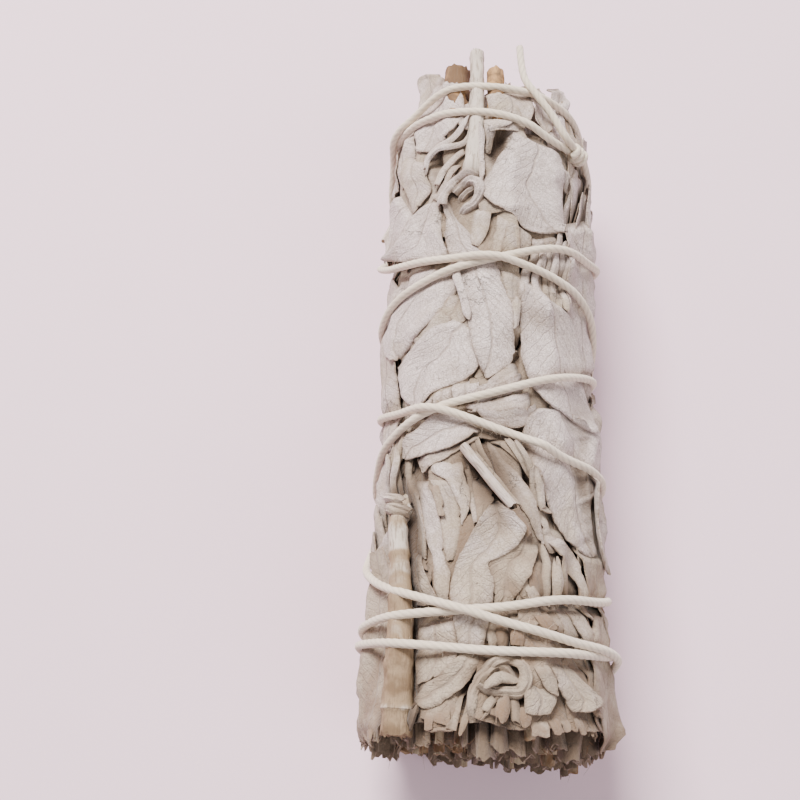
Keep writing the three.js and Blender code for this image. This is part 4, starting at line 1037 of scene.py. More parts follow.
def make_piece(name, whole, values, material):
    """One mesh object from arrays of points and faces, with values at each point for its finish."""
    points, quads, tris = whole["points"].copy(), whole["faces"], whole["tris"]
    points[:, 2] = np.where(points[:, 2] < 0, LOWEST, points[:, 2])
    mesh = bpy.data.meshes.new(name)
    corners = np.concatenate([quads.ravel(), tris.ravel()]).astype(np.int32)
    sizes = np.r_[np.full(len(quads), 4), np.full(len(tris), 3)].astype(np.int32)
    mesh.vertices.add(len(points))
    mesh.vertices.foreach_set("co", points.astype(np.float32).ravel())
    mesh.loops.add(len(corners))
    mesh.loops.foreach_set("vertex_index", corners)
    mesh.polygons.add(len(sizes))
    mesh.polygons.foreach_set("loop_start", (np.cumsum(sizes) - sizes).astype(np.int32))
    mesh.polygons.foreach_set("loop_total", sizes)
    mesh.polygons.foreach_set("use_smooth", np.ones(len(sizes), bool))
    mesh.update(calc_edges=True)
    for key in values:
        if key == "spot":
            made = mesh.attributes.new(key, "FLOAT_VECTOR", "POINT")
            made.data.foreach_set("vector", whole[key].astype(np.float32).ravel())
        else:
            made = mesh.attributes.new(key, "FLOAT", "POINT")
            made.data.foreach_set("value", whole[key].astype(np.float32))
    mesh.validate()
    mesh.set_sharp_from_angle(angle=SHARP)
    mesh.materials.append(material)
    piece = bpy.data.objects.new(name, mesh)
    bpy.context.scene.collection.objects.link(piece)
    return piece


def joined(parts):
    """Several meshes as one: their points after each other, and their faces counted on."""
    counts = np.cumsum([0] + [len(p["points"]) for p in parts])
    out = {key: np.concatenate([p[key] for p in parts]) for key in parts[0] if key not in ("faces", "tris")}
    out["faces"] = np.concatenate([p["faces"] + c for p, c in zip(parts, counts)])
    tris = [p["tris"] + c for p, c in zip(parts, counts) if "tris" in p]
    out["tris"] = np.concatenate(tris) if tris else np.zeros((0, 3), int)
    return out


# ---- finishes ------------------------------------------------------------------------------------

def wire(tree, kind, inputs, **settings):
    """One node with its settings; each input is a value or another node's output."""
    node = tree.nodes.new("ShaderNode" + kind)
    for key, value in settings.items():
        setattr(node, key, value)
    for key, value in inputs.items():
        if isinstance(value, bpy.types.NodeSocket):
            tree.links.new(value, node.inputs[key])
        else:
            node.inputs[key].default_value = value
    return node


def calc(tree, operation, *numbers):
    """One step of arithmetic on values."""
    return wire(tree, "Math", dict(enumerate(numbers)), operation=operation).outputs[0]


def plus(tree, a, b):
    """The sum of two values."""
    return calc(tree, "ADD", a, b)


def times(tree, a, b):
    """The product of two values."""
    return calc(tree, "MULTIPLY", a, b)


def moved(tree, vector, by, operation="ADD"):
    """The place with a vector added to it, or taken away."""
    return wire(tree, "VectorMath", {0: vector, 1: by}, operation=operation).outputs[0]


def ramp(tree, value, low, high, to_low=0.0, to_high=1.0):
    """A soft step from low to high."""
    return wire(tree, "MapRange", {"Value": value, "From Min": low, "From Max": high, "To Min": to_low,
                                   "To Max": to_high}, interpolation_type="SMOOTHSTEP").outputs["Result"]


def tinted(tree, share, a, b):
    """Colour a (1 - share) + b share."""
    return wire(tree, "Mix", {0: share, 6: a, 7: b}, data_type="RGBA").outputs[2]


def stained(tree, colour, where, share, stain):
    """The colour with a stain over it: share is how much of it where the mask is 1."""
    return tinted(tree, times(tree, where, share), colour, stain)


def noise(tree, vector, scale, detail=3.0, roughness=0.55, distortion=0.0):
    """Soft random values from 0 to 1."""
    return wire(tree, "TexNoise", {"Vector": vector, "Scale": scale, "Detail": detail,
                                   "Roughness": roughness, "Distortion": distortion}).outputs[0]


def stretched(tree, vector, x, y, z):
    """The place with each of its numbers multiplied, so that a pattern is drawn out where one is small."""
    return wire(tree, "VectorMath", {0: vector, 1: (x, y, z)}, operation="MULTIPLY").outputs[0]


def new_group(name, inputs, outputs):
    """A shader node group with named inputs and outputs: (name, kind, value) each."""
    tree = bpy.data.node_groups.new(name, "ShaderNodeTree")
    for label, kind, value in inputs:
        socket = tree.interface.new_socket(label, in_out="INPUT", socket_type="NodeSocket" + kind)
        if value is not None:
            socket.default_value = value
    for label, kind in outputs:
        tree.interface.new_socket(label, in_out="OUTPUT", socket_type="NodeSocket" + kind)
    entry, leave = tree.nodes.new("NodeGroupInput"), tree.nodes.new("NodeGroupOutput")
    return tree, entry.outputs, leave.inputs


def use_group(tree, group, inputs):
    """One use of a node group with its own values."""
    return wire(tree, "Group", inputs, node_tree=group).outputs


def attribute(tree, name, output="Fac"):
    """A value that the mesh holds at each point."""
    return wire(tree, "Attribute", {}, attribute_name=name).outputs[output]


# Veins: a midrib, side veins that run forwards to the edges, and a fine net between them, all
# bent a little by noise.
veins, given, made = new_group("leaf_veins", [("Spot", "Vector", None), ("Strength", "Float", 1.0)],
                               [("Height", "Float"), ("Line", "Float")])
bend = wire(veins, "TexNoise", {"Vector": given["Spot"], "Scale": 0.5, "Detail": 2.0}).outputs[1]
bent = moved(veins, given["Spot"], moved(veins, bend, (0.5, 0.5, 0.5), "SUBTRACT"))
parts = wire(veins, "SeparateXYZ", {0: bent}).outputs
beside = calc(veins, "ABSOLUTE", parts[0])
rib = ramp(veins, beside, 0.05, 0.35, 1.0, 0.0)
forward = calc(veins, "SUBTRACT", parts[1], times(veins, beside, 0.9))
spaced = calc(veins, "ABSOLUTE", calc(veins, "SUBTRACT", calc(veins, "PINGPONG", forward, 1.5), 0.75))
branch = ramp(veins, spaced, 0.0, 0.16, 1.0, 0.0)
cell = wire(veins, "TexVoronoi", {"Vector": bent, "Scale": 1.25}, feature="DISTANCE_TO_EDGE")
net = ramp(veins, cell.outputs["Distance"], 0.0, 0.09, 1.0, 0.0)
line = calc(veins, "MAXIMUM", times(veins, branch, 0.45), times(veins, net, 0.28))
line = calc(veins, "MAXIMUM", times(veins, rib, 0.9), line)
line = times(veins, line, given["Strength"])
veins.links.new(line, made["Line"])
veins.links.new(times(veins, line, -1.0), made["Height"])

# Felt and fibres: fine grain of a given size in mm, stretched lengthwise, and soft blotches.
grain, given, made = new_group("fibre_grain", [("Vector", "Vector", None), ("Size", "Float", 0.3),
                                               ("Blotch", "Float", 3.0)],
                               [("Height", "Float"), ("Patch", "Float")])
fine = noise(grain, given["Vector"], calc(grain, "DIVIDE", 1.0, given["Size"]), 4.0, 0.65)
patch = noise(grain, given["Vector"], calc(grain, "DIVIDE", 1.0, given["Blotch"]), 3.0, 0.6, 0.4)
grain.links.new(fine, made["Height"])
grain.links.new(ramp(grain, patch, 0.3, 0.7), made["Patch"])

# Painted shade and dusty brown on what lies deep between the leaves: more of it from one depth to another.
dust_and_shade, given, made = new_group("deep_dust_and_shade", [
    ("Color", "Color", None), ("Dust_And_Shade", "Color", (0.07, 0.045, 0.03, 1)), ("Deep", "Float", 0.0),
    ("From", "Float", 0.6), ("To", "Float", 2.6)], [("Color", "Color")])
share = ramp(dust_and_shade, given["Deep"], given["From"], given["To"], 0.0, 0.92)
dust_and_shade.links.new(tinted(dust_and_shade, share, given["Color"], given["Dust_And_Shade"]), made["Color"])


def new_material(name, roughness, sheen=0.0):
    """A dull material, and the place on the bunch in mm for its patterns."""
    material = bpy.data.materials.new(name)
    material.use_nodes = True
    tree = material.node_tree
    shader = tree.nodes["Principled BSDF"]
    shader.inputs["Roughness"].default_value = roughness
    shader.inputs["Specular IOR Level"].default_value = 0.25
    shader.inputs["Sheen Weight"].default_value = sheen
    shader.inputs["Sheen Roughness"].default_value = 0.6
    in_mm = stretched(tree, wire(tree, "TexCoord", {}).outputs["Object"], 1000, 1000, 1000)
    return material, tree, shader, in_mm


def bumped(tree, shader, relief, distance):
    """The relief, that many mm high, on the shader's surface."""
    bump = wire(tree, "Bump", {"Height": relief, "Distance": distance * MM})
    tree.links.new(bump.outputs["Normal"], shader.inputs["Normal"])


# colours of the finishes, each with its opacity
GREY_LEAF = (0.655, 0.57, 0.552, 1)
PALE_LEAF = (0.79, 0.70, 0.678, 1)
STRAW_LEAF = (0.50, 0.42, 0.325, 1)
BROWN_LEAF = (0.20, 0.125, 0.07, 1)
DARK_LEAF = (0.05, 0.032, 0.02, 1)
VEIN_BROWN = (0.24, 0.18, 0.14, 1)
WORN_BROWN = (0.22, 0.155, 0.105, 1)
CRACK_BROWN = (0.10, 0.07, 0.05, 1)
# dusty brown of what lies deep, which also stands for painted shade there
DUST_AND_SHADE_BROWN = (0.26, 0.19, 0.13, 1)
BARK_CRACK = (0.16, 0.11, 0.07, 1)
PALE_PITH = (0.34, 0.24, 0.15, 1)
DARK_GRAIN = (0.12, 0.075, 0.045, 1)
CREAM_COTTON = (0.84, 0.73, 0.58, 1)
SOILED_COTTON = (0.74, 0.63, 0.48, 1)
# painted shade between the strands of the string
GROOVE_SHADE = (0.36, 0.30, 0.22, 1)
PALE_FIBRE = (0.80, 0.77, 0.70, 1)
PINK_PAPER = (0.86, 0.655, 0.755, 1)
PALE_PAPER = (0.88, 0.67, 0.775, 1)
CUT_END = -54.0              # y, just past the near end
WARM_REACH = 52              # how far from it the leaves are warmer
BROWN_REACH = 7              # and browned


def leaf_material():
    """White felt over a green-grey leaf: patches of grey and straw, veins, cracks, worn edges, brown
    specks, and dusty brown with painted shade in what lies deep; warmer towards the cut end."""
    material, tree, shader, in_mm = new_material("leaf_felt", 0.92, 0.15)
    spot = attribute(tree, "spot", "Vector")
    tone, rim = attribute(tree, "tone"), attribute(tree, "rim")
    deep = attribute(tree, "deep")
    felt = use_group(tree, grain, {"Vector": in_mm, "Size": 0.22, "Blotch": 5.0})
    mottle = use_group(tree, grain, {"Vector": spot, "Size": 0.55, "Blotch": 1.7})
    lines = use_group(tree, veins, {"Spot": spot, "Strength": attribute(tree, "veins")})
    along = wire(tree, "SeparateXYZ", {0: in_mm}).outputs[1]
    warm = plus(tree, ramp(tree, along, CUT_END, CUT_END + WARM_REACH, 0.5, 0.0),
                ramp(tree, along, CUT_END, CUT_END + BROWN_REACH, 0.4, 0.0))
    uneven = plus(tree, plus(tree, tone, warm),
                  times(tree, calc(tree, "SUBTRACT", felt["Patch"], 0.5), 0.40))
    colour = tinted(tree, mottle["Patch"], GREY_LEAF, PALE_LEAF)
    colour = tinted(tree, ramp(tree, uneven, 0.05, 0.6), colour, STRAW_LEAF)
    colour = tinted(tree, ramp(tree, uneven, 0.6, 1.05), colour, BROWN_LEAF)
    colour = tinted(tree, ramp(tree, uneven, 1.1, 1.6), colour, DARK_LEAF)
    colour = stained(tree, colour, lines["Line"], 0.6, VEIN_BROWN)
    worn = times(tree, rim, ramp(tree, mottle["Height"], 0.3, 0.7, 0.25, 0.95))
    colour = tinted(tree, worn, colour, WORN_BROWN)
    colour = tinted(tree, ramp(tree, felt["Height"], 0.36, 0.62, 0.55, 0.0), colour, VEIN_BROWN)
    # cracks along the edges of large wandering cells, in some places only
    astray = wire(tree, "TexNoise", {"Vector": in_mm, "Scale": 0.35, "Detail": 4.0, "Roughness": 0.65})
    astray = moved(tree, stretched(tree, astray.outputs[1], 5.0, 5.0, 5.0), in_mm)
    cell = wire(tree, "TexVoronoi", {"Vector": astray, "Scale": 0.2, "Randomness": 1.0},
                feature="DISTANCE_TO_EDGE").outputs["Distance"]
    crack = times(tree, ramp(tree, cell, 0.0, 0.02, 1.0, 0.0),
                 ramp(tree, noise(tree, in_mm, 0.13), 0.56, 0.64))
    colour = stained(tree, colour, crack, 0.6, CRACK_BROWN)
    # specks, in other places
    speck = wire(tree, "TexVoronoi", {"Vector": in_mm, "Scale": 0.7, "Randomness": 1.0}).outputs["Distance"]
    speck = times(tree, ramp(tree, speck, 0.06, 0.13, 1.0, 0.0),
                 ramp(tree, noise(tree, in_mm, 0.21), 0.48, 0.6))
    colour = stained(tree, colour, speck, 0.8, CRACK_BROWN)
    # painted shade: towards dusty brown, then towards near black, the deeper a place lies below the leaves
    # round it
    colour = use_group(tree, dust_and_shade, {"Color": colour, "Dust_And_Shade": DUST_AND_SHADE_BROWN, "Deep": deep,
                                    "From": 0.15, "To": 2.4})["Color"]
    colour = use_group(tree, dust_and_shade, {"Color": colour, "Deep": deep, "From": 0.8, "To": 3.0})["Color"]
    tree.links.new(colour, shader.inputs["Base Color"])
    crinkle = noise(tree, stretched(tree, spot, 1.0, 0.55, 1.0), 0.9, 4.0, 0.6, 0.8)
    relief = lines["Height"]
    for layer, share in ((felt["Height"], 0.7), (mottle["Height"], 0.9), (crinkle, 0.75), (crack, -1.0)):
        relief = plus(tree, relief, times(tree, layer, share))
    bumped(tree, shader, relief, 0.16)
    return material


def bark_material(name, cream, tan, brown, roughness):
    """Dry bark: cream to tan along the stem, dark lengthwise cracks, and brown end grain with pale pith."""
    material, tree, shader, in_mm = new_material(name, roughness)
    spot = attribute(tree, "spot", "Vector")
    tone, cut = attribute(tree, "tone"), attribute(tree, "cut")
    lengthwise = stretched(tree, spot, 1.0, 0.12, 1.0)
    ridges = use_group(tree, grain, {"Vector": lengthwise, "Size": 0.3, "Blotch": 1.6})
    blot = use_group(tree, grain, {"Vector": in_mm, "Size": 0.22, "Blotch": 2.4})
    patchy = times(tree, calc(tree, "SUBTRACT", blot["Patch"], 0.5), 0.4)
    uneven = plus(tree, tone, patchy)
    colour = tinted(tree, ramp(tree, uneven, 0.0, 0.6), cream, tan)
    colour = tinted(tree, ramp(tree, uneven, 0.65, 1.1), colour, brown)
    crack = ramp(tree, ridges["Height"], 0.36, 0.5, 1.0, 0.0)
    colour = stained(tree, colour, crack, 0.55, BARK_CRACK)
    end_grain = tinted(tree, blot["Patch"], PALE_PITH, DARK_GRAIN)
    colour = stained(tree, colour, cut, 0.8, end_grain)
    tree.links.new(colour, shader.inputs["Base Color"])
    relief = plus(tree, ridges["Height"], times(tree, blot["Height"], 0.4))
    bumped(tree, shader, relief, 0.16)
    return material


def cotton_material():
    """Soft cotton: cream, with painted shade between the strands, fine fibres along each strand."""
    material, tree, shader, in_mm = new_material("soft_cotton", 0.95, 0.35)
    spot = attribute(tree, "spot", "Vector")
    lengthwise = stretched(tree, spot, 1.0, 0.25, 1.0)
    fibres = use_group(tree, grain, {"Vector": lengthwise, "Size": 0.16, "Blotch": 1.2})
    soil = use_group(tree, grain, {"Vector": in_mm, "Size": 0.12, "Blotch": 9.0})
    colour = tinted(tree, soil["Patch"], CREAM_COTTON, SOILED_COTTON)
    # painted shade in the grooves between the strands
    colour = stained(tree, colour, attribute(tree, "groove"), 0.55, GROOVE_SHADE)
    colour = stained(tree, colour, fibres["Height"], 0.25, PALE_FIBRE)
    tree.links.new(colour, shader.inputs["Base Color"])
    relief = plus(tree, fibres["Height"], times(tree, soil["Height"], 0.5))
    bumped(tree, shader, relief, 0.09)
    return material


def ground_material():
    """Matt paper with a faint tooth."""
    material, tree, shader, in_mm = new_material("ground_paper", 0.85)
    tooth = use_group(tree, grain, {"Vector": in_mm, "Size": 0.5, "Blotch": 60.0})
    colour = tinted(tree, tooth["Patch"], PINK_PAPER, PALE_PAPER)
    tree.links.new(colour, shader.inputs["Base Color"])
    bumped(tree, shader, tooth["Height"], 0.02)
    return material


leaf_felt = leaf_material()
# name, its cream, tan and brown, and roughness
stem_bark = bark_material("stem_bark", (0.60, 0.53, 0.46, 1), (0.305, 0.222, 0.14, 1),
                          (0.18, 0.12, 0.07, 1), 0.85)
stub_bark = bark_material("stub_bark", (0.58, 0.42, 0.26, 1), (0.52, 0.31, 0.14, 1),
                          (0.15, 0.09, 0.05, 1), 0.9)
stalk_bark = bark_material("stalk_bark", (0.58, 0.50, 0.45, 1), (0.47, 0.37, 0.26, 1),
                           (0.20, 0.12, 0.065, 1), 0.88)
soft_cotton = cotton_material()
ground_paper = ground_material()

# ---- the cut end and the leaf tips ---------------------------------------------------------------

STUBS = 120                  # leaf bases and stalks, cut off at the near end
STUB_RADIUS = 15.4           # how far from the centre line they reach
STUB_FLOOR = 2.5 - AXIS_HEIGHT    # lowest middle of a stub, from the centre line
LEAF_STUBS = 0.66            # share of them that are leaf bases
FIBRES = 200                 # torn fibres at the cut end
TIPS = 100                   # leaf tips at the far end
TIP_RADIUS = 12.6
TIP_CLEAR = 1.2              # between a tip's middle and a stem


def spread_over_disc(count, radius):
    """Even places on a disc: the k-th at radius sqrt(k / count), turned by the golden angle each time."""
    k = np.arange(count) + 0.5
    r = radius * np.sqrt(k / count)
    a = k * np.pi * (3 - np.sqrt(5))
    return r * np.cos(a), r * np.sin(a)


def disc_place(x, y_along, z):
    """Sideways and up from the centre line in mm, to metres."""
    return np.stack([x - FOOT[0], y_along - LENGTH / 2 - FOOT[1] + 0 * x, AXIS_HEIGHT + z], -1) * MM


def curled_stub(x, z, size, low, high, tone):
    """A leaf base folded round itself: an open spiral whose radius is size (1 - half the share of its
    turn), with folds, drawn out along the bunch and cut off unevenly."""
    rows, sides = 11, 25
    length = high - low
    t, share = np.linspace(0, 1, rows)[:, None] ** 1.4, np.linspace(0, 1, sides)[None, :]
    opening, turned = rng.uniform(0.3, 2.2), rng.uniform(0, 2 * np.pi)
    a = turned + share * (2 * np.pi * rng.uniform(0.7, 1.25) - opening)
    folds = 0.12 * ripple(a, 3 * t + 0 * a, 3) + 0.05 * ripple(3 * a, 2 * t + 0 * a, 2)
    r = size * (1 - 0.5 * share) * (0.9 + folds)
    flat, lean = rng.uniform(0.15, 0.75), rng.uniform(0, np.pi)
    u, w = r * np.cos(a), r * np.sin(a) * flat
    ragged = 0.3 * ripple(a * size, 0 * a, 3.5) + 0.06 * ripple(a * size, 0 * a, 1.3)
    ragged = ragged * (1 - smooth_step(t * 5))
    ragged = ragged + 0.5 * ripple(a * size, 0 * a, 2.5) * smooth_step(t * 5 - 4)
    drift = 0.5 * np.sin(t * 2 + turned)
    middle = disc_place(x + u * np.cos(lean) - w * np.sin(lean) + drift * 0.6, low + t * length + ragged,
                        z + u * np.sin(lean) + w * np.cos(lean) + drift * 0.3)
    outward = np.stack([np.cos(a + lean), 0 * a, np.sin(a + lean)], -1) + np.zeros((rows, sides, 3))
    edge = np.minimum(t * length, (1 - t) * length) + 0 * a
    spot = np.stack([share * size * 5 + 0 * t, t * length + 0 * a, rng.uniform(0, 90) + 0 * t + 0 * a], -1)
    browned = rng.uniform(0.1, 1.1) * np.exp(-t * length / 3)
    # painted shade: each stub is darker the further it goes in from the cut end
    values = dict(tone=tone + browned, deep=rng.uniform(0.9, 2.3) + 1.4 * smooth_step(t * 1.4),
                  rim=np.exp(-edge / RIM), veins=0.3)
    return shell_mesh(middle, outward, 0.16, values, spot)


def folded_tip(x, z, size, low, high, tone):
    """The end of a leaf, folded along its midrib: half width tapers to the tip, and the fold opens."""
    rows, sides = 15, 7
    t, v = np.linspace(0, 1, rows)[:, None], np.linspace(-1, 1, sides)[None, :]
    turned, fold = rng.uniform(0, 2 * np.pi), rng.uniform(0.2, 1.1)
    half = size * (0.25 + 0.75 * np.sin(np.pi * (0.25 + 0.72 * t)) ** 0.7)
    u = half * v * np.cos(fold)
    w = half * np.abs(v) * np.sin(fold) + 0.25 * ripple(u, 8 * t + 0 * v, 4)
    reach = np.hypot(x, z)
    bend = rng.uniform(-0.5, 1.6) * t**2
    ux, uz = (x / reach, z / reach) if reach > 0.5 else (1, 0)
    along = low + (high - low) * (t - 0.05 * v**2) + 0.2 * ripple(u, 0 * u, 1.6)
    middle = disc_place(x + u * np.cos(turned) - w * np.sin(turned) + ux * bend, along,
                        z + u * np.sin(turned) + w * np.cos(turned) + uz * bend)
    outward = np.zeros((rows, sides, 3)) + np.array([-np.sin(turned), 0, np.cos(turned)])
    edge = np.minimum(half * (1 - np.abs(v)), (1 - t) * (high - low))
    spot = np.stack([half * v, t * (high - low) + 0 * v, rng.uniform(0, 90) + 0 * t + 0 * v], -1)
    # painted shade: a tip is darker towards its base, among the other tips
    values = dict(tone=tone, deep=1.8 - 2.2 * t, rim=np.exp(-edge / RIM), veins=0.8)
    return shell_mesh(middle, outward, 0.15 * np.sqrt(np.clip(edge / 0.3, 0.3, 1)), values, spot)


def hairs(start, off, drift, long, thick, tone):
    """Thin hairs with three sides: start + length (t (1 - 0.3 t) off + t squared drift), thinning out."""
    count, rings = len(start), 5
    t = np.linspace(0, 1, rings)[None, :, None]
    curl = off[:, None] * t * (1 - 0.3 * t) + drift[:, None] * t**2
    line = start[:, None] + long[:, None, None] * MM * curl
    side = unit(np.cross(off, drift))
    other = np.cross(off, side)
    width = thick * MM * (1 - 0.7 * t)
    points = np.stack([line + (np.cos(a) * side + np.sin(a) * other)[:, None] * width
                       for a in 2 * np.pi * np.arange(3) / 3], 2)
    k = np.arange(count * rings * 3).reshape(count, rings, 3)
    after = np.roll(k, -1, 2)
    quads = np.stack([k[:, :-1], k[:, 1:], after[:, 1:], after[:, :-1]], -1).reshape(-1, 4)
    zero = np.zeros(k.size)
    return dict(points=points.reshape(-1, 3), faces=quads, tris=np.concatenate([k[:, 0], k[:, -1, ::-1]]),
                tone=zero + tone, cut=zero, groove=zero, spot=points.reshape(-1, 3) / MM)


# the parts of each sprig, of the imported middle, and of the bare stalks
by_sprig = [[] for _ in range(SPRIGS)]
middle_parts, stalk_parts = [], []


def sprig_of(around):
    """Which sprig has that side of the bunch, counting from 0."""
    return int(((around - FIRST_SPRIG) % 360) // (360 / SPRIGS))


def put(part, x, z):
    """A stub or tip belongs to the sprig whose slice of the bunch it is in, or to the middle."""
    if np.hypot(x, z) < MIDDLE_RADIUS:
        middle_parts.append(part)
    else:
        by_sprig[sprig_of(np.degrees(np.arctan2(x, z)))].append(part)


def stalk_stub(x, z, low):
    """A cut stalk, three-cornered in section, that drifts a little sideways on its way in."""
    rows, sides = 9, 10
    drift = np.linspace(0, rng.uniform(-0.6, 0.6), rows)
    path = disc_place(x + drift, np.linspace(low, low + 8, rows), np.full(rows, z))
    size = rng.uniform(0.4, 1.05)
    turn = 2 * np.pi * np.arange(sides) / sides
    radius = np.tile(size * MM * (1 + 0.08 * np.sin(3 * turn + x)), (rows, 1))
    return rod_mesh(path, np.tile([0.0, 0, 1], (rows, 1)), radius, rng.uniform(0.6, 1.2), cut=0.5)


def cut_end():
    """Stubs all over the near end. It is cut a little aslant: low waves, and deeper at one side."""
    for x, z in zip(*spread_over_disc(STUBS, STUB_RADIUS)):
        x, z = x + rng.normal(0, 0.35), z + rng.normal(0, 0.35)
        z = max(z, STUB_FLOOR)
        low = rng.uniform(-0.3, 1.1) + 0.7 * np.sin(0.55 * x + 0.4 * z) - 1.8 * smooth_step((x - z) / 26)
        if rng.random() < LEAF_STUBS:
            size = rng.uniform(1.1, 3.1)
            inward = min(1, (STUB_RADIUS + 0.6 - size) / np.hypot(x, z))
            x, z = x * inward, z * inward
            put(curled_stub(x, z, size, low, low + rng.uniform(7, 10), rng.uniform(0.35, 1.0)), x, z)
        else:
            stalk_parts.append(stalk_stub(x, z, low))


def torn_fibres():
    """Short stiff fibres that stick out of the cut end."""
    turned = rng.uniform(0, 2 * np.pi, FIBRES)
    far = STUB_RADIUS * np.sqrt(rng.uniform(0.3, 1, FIBRES))
    off = unit(np.stack([rng.normal(0, 0.8, FIBRES), -rng.uniform(0.3, 1, FIBRES),
                         rng.normal(-0.2, 0.5, FIBRES)], -1))
    start = disc_place(far * np.cos(turned), rng.uniform(0.5, 3, FIBRES), far * np.sin(turned))
    drift, long = rng.normal(0, 0.8, (FIBRES, 3)), rng.uniform(0.6, 2.2, FIBRES)
    stalk_parts.append(hairs(start, off, drift, long, 0.06, 1.1))


def far_stems():
    """Where stems come out among the leaf tips, sideways and up, and how thick they are."""
    for r in rods:
        if r["name"] and r["along"][0] > LENGTH - 4:
            reach = r["out"][0] + read(level + bite, r["along"], r["sideways"]).mean()
            a = r["sideways"][0] / ROUND
            yield reach * np.sin(a), reach * np.cos(a), r["radius"].max()


def leaf_tips():
    """Tips all over the far end, a little lower round its edge, and none in a stem's way."""
    stems = list(far_stems())
    for x, z in zip(*spread_over_disc(TIPS, TIP_RADIUS)):
        x, z = x + rng.normal(0, 0.5), z + rng.normal(0, 0.5)
        high = LENGTH - rng.uniform(0.3, 7) + (1.0 if np.hypot(x, z) < 8 else -1.0)
        tip = folded_tip(x, z, rng.uniform(1.3, 3.4), high - rng.uniform(10, 16), high, rng.uniform(0, 0.45))
        if min(np.hypot(x - stem_x, z - stem_z) - thick for stem_x, stem_z, thick in stems) > TIP_CLEAR:
            put(tip, x, z)


# a leaf belongs to the sprig that its base is in
for s in shells:
    by_sprig[sprig_of(np.degrees(s["sideways"][0].mean() / ROUND))].append(laid_shell(s))
cut_end()
torn_fibres()
leaf_tips()

# ---- stems and stalks ----------------------------------------------------------------------------

STALK_SIDES = 10
STEM_SIDES = 28
# along, how much thicker in shares of the radius, and over what length in mm
NODE_RINGS = {
    "woody_stem_front": [[4.9, 0.16, 0.35], [10.4, 0.12, 0.6], [24.8, 0.14, 0.4], [28.4, 0.1, 0.5]],
    "woody_stem_top": [[83.6, 0.25, 1.5], [97, 0.08, 0.5], [105.8, 0.12, 0.5]],
    "woody_stem_side": [[14, 0.12, 0.6], [38, 0.12, 0.6]],
    "woody_stem_back": [[20, 0.12, 0.6], [47, 0.12, 0.6], [70, 0.10, 0.5]],
}
# along, colour: 0 cream, 0.6 tan, 1 brown
STEM_TONES = {
    "woody_stem_front": [[1, 1.2], [2.6, 0.8], [4.4, 0.72], [4.9, 0.35], [5.5, 0.85], [10.2, 0.9],
                         [12.5, 0.78], [14.5, 0.5], [17, 0.7], [21, 0.6], [23.5, 0.3], [24.8, 0.8],
                         [25.6, 0.2], [28, 0.1], [29.4, 0.6], [30, 0.15], [33, 0.3]],
    "woody_stem_top": [[82, 0.05], [107, 0.0]],
    "woody_stem_side": [[0, 0.7], [54, 0.4]],
    "woody_stem_back": [[0, 0.75], [84, 0.45]],
    "stem_stub_brown": [[90, 0.9], [105, 1.15]],
    "stem_stub_tan": [[90, 0.7], [98, 0.85], [104, 0.95]],
}
# along, which way, how far the hidden end goes down into the leaves, over what length in mm
DIVES = {"woody_stem_front": [29, 1, 2.2, 4.0], "woody_stem_top": [84.6, -1, 2.4, 2.6]}


def stem_mesh(r, sides):
    """A stalk or stem in its pressed place, a little out of round: two and five waves and small ripples
    round it, and at each node a ring, thick exp(-(distance / length) squared)."""
    along, sideways = r["along"], r["sideways"]
    out = pressed(along, sideways, r["out"])
    if r["name"]:            # pressed in as a whole, so that it stays straight
        out = r["out"] + read(level + bite, along, sideways).mean()
    if r["name"] in DIVES:
        at, way, depth, long = DIVES[r["name"]]
        out = out - depth * smooth_step(way * (along - at) / long)
    out = np.minimum(out, ground_out(sideways, AXIS_HEIGHT - r["radius"].max() - STEM_CLEAR))
    turn = 2 * np.pi * np.arange(sides) / sides
    run = np.linspace(0, r["length"], len(along))[:, None]
    wobble = 1 + 0.05 * np.sin(2 * turn + 0.2 * run + 1) + 0.02 * np.sin(5 * turn + 0.3 * np.sin(run))
    wobble = wobble + 0.03 * ripple(run + 0 * turn, 0 * run + turn, 3)
    for at, thick, long in NODE_RINGS.get(r["name"], []):
        wobble = wobble + thick * np.exp(-(((along[:, None] - at) / long) ** 2))
    tone = r["tone"]
    if r["name"]:
        tone = np.interp(along, *np.transpose(STEM_TONES[r["name"]]))
    radius = r["radius"][:, None] * MM * wobble
    return rod_mesh(place(along, sideways, out), away_from_axis(sideways), radius, tone)


for r in rods:
    if not r["name"]:
        stalk_parts.append(stem_mesh(r, STALK_SIDES))
        continue
    bark = stub_bark if "stub" in r["name"] else stem_bark
    piece = make_piece(r["name"] + "_bark", stem_mesh(r, STEM_SIDES), BARK_VALUES, bark)
    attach(piece, "root")
    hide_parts(r["name"])

piece = make_piece("bare_stalks", joined(stalk_parts), BARK_VALUES, stalk_bark)
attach(piece, "root")

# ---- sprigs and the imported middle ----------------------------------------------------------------

for k, parts in enumerate(by_sprig):
    name = f"sprig_{k + 1:02d}"
    piece = make_piece(f"{name}_leaves", joined(parts), LEAF_VALUES, leaf_felt)
    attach(piece, "root")
    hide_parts(name)


MIDDLE_FROM = 5.5            # along
MIDDLE_TO = LENGTH - 11.5


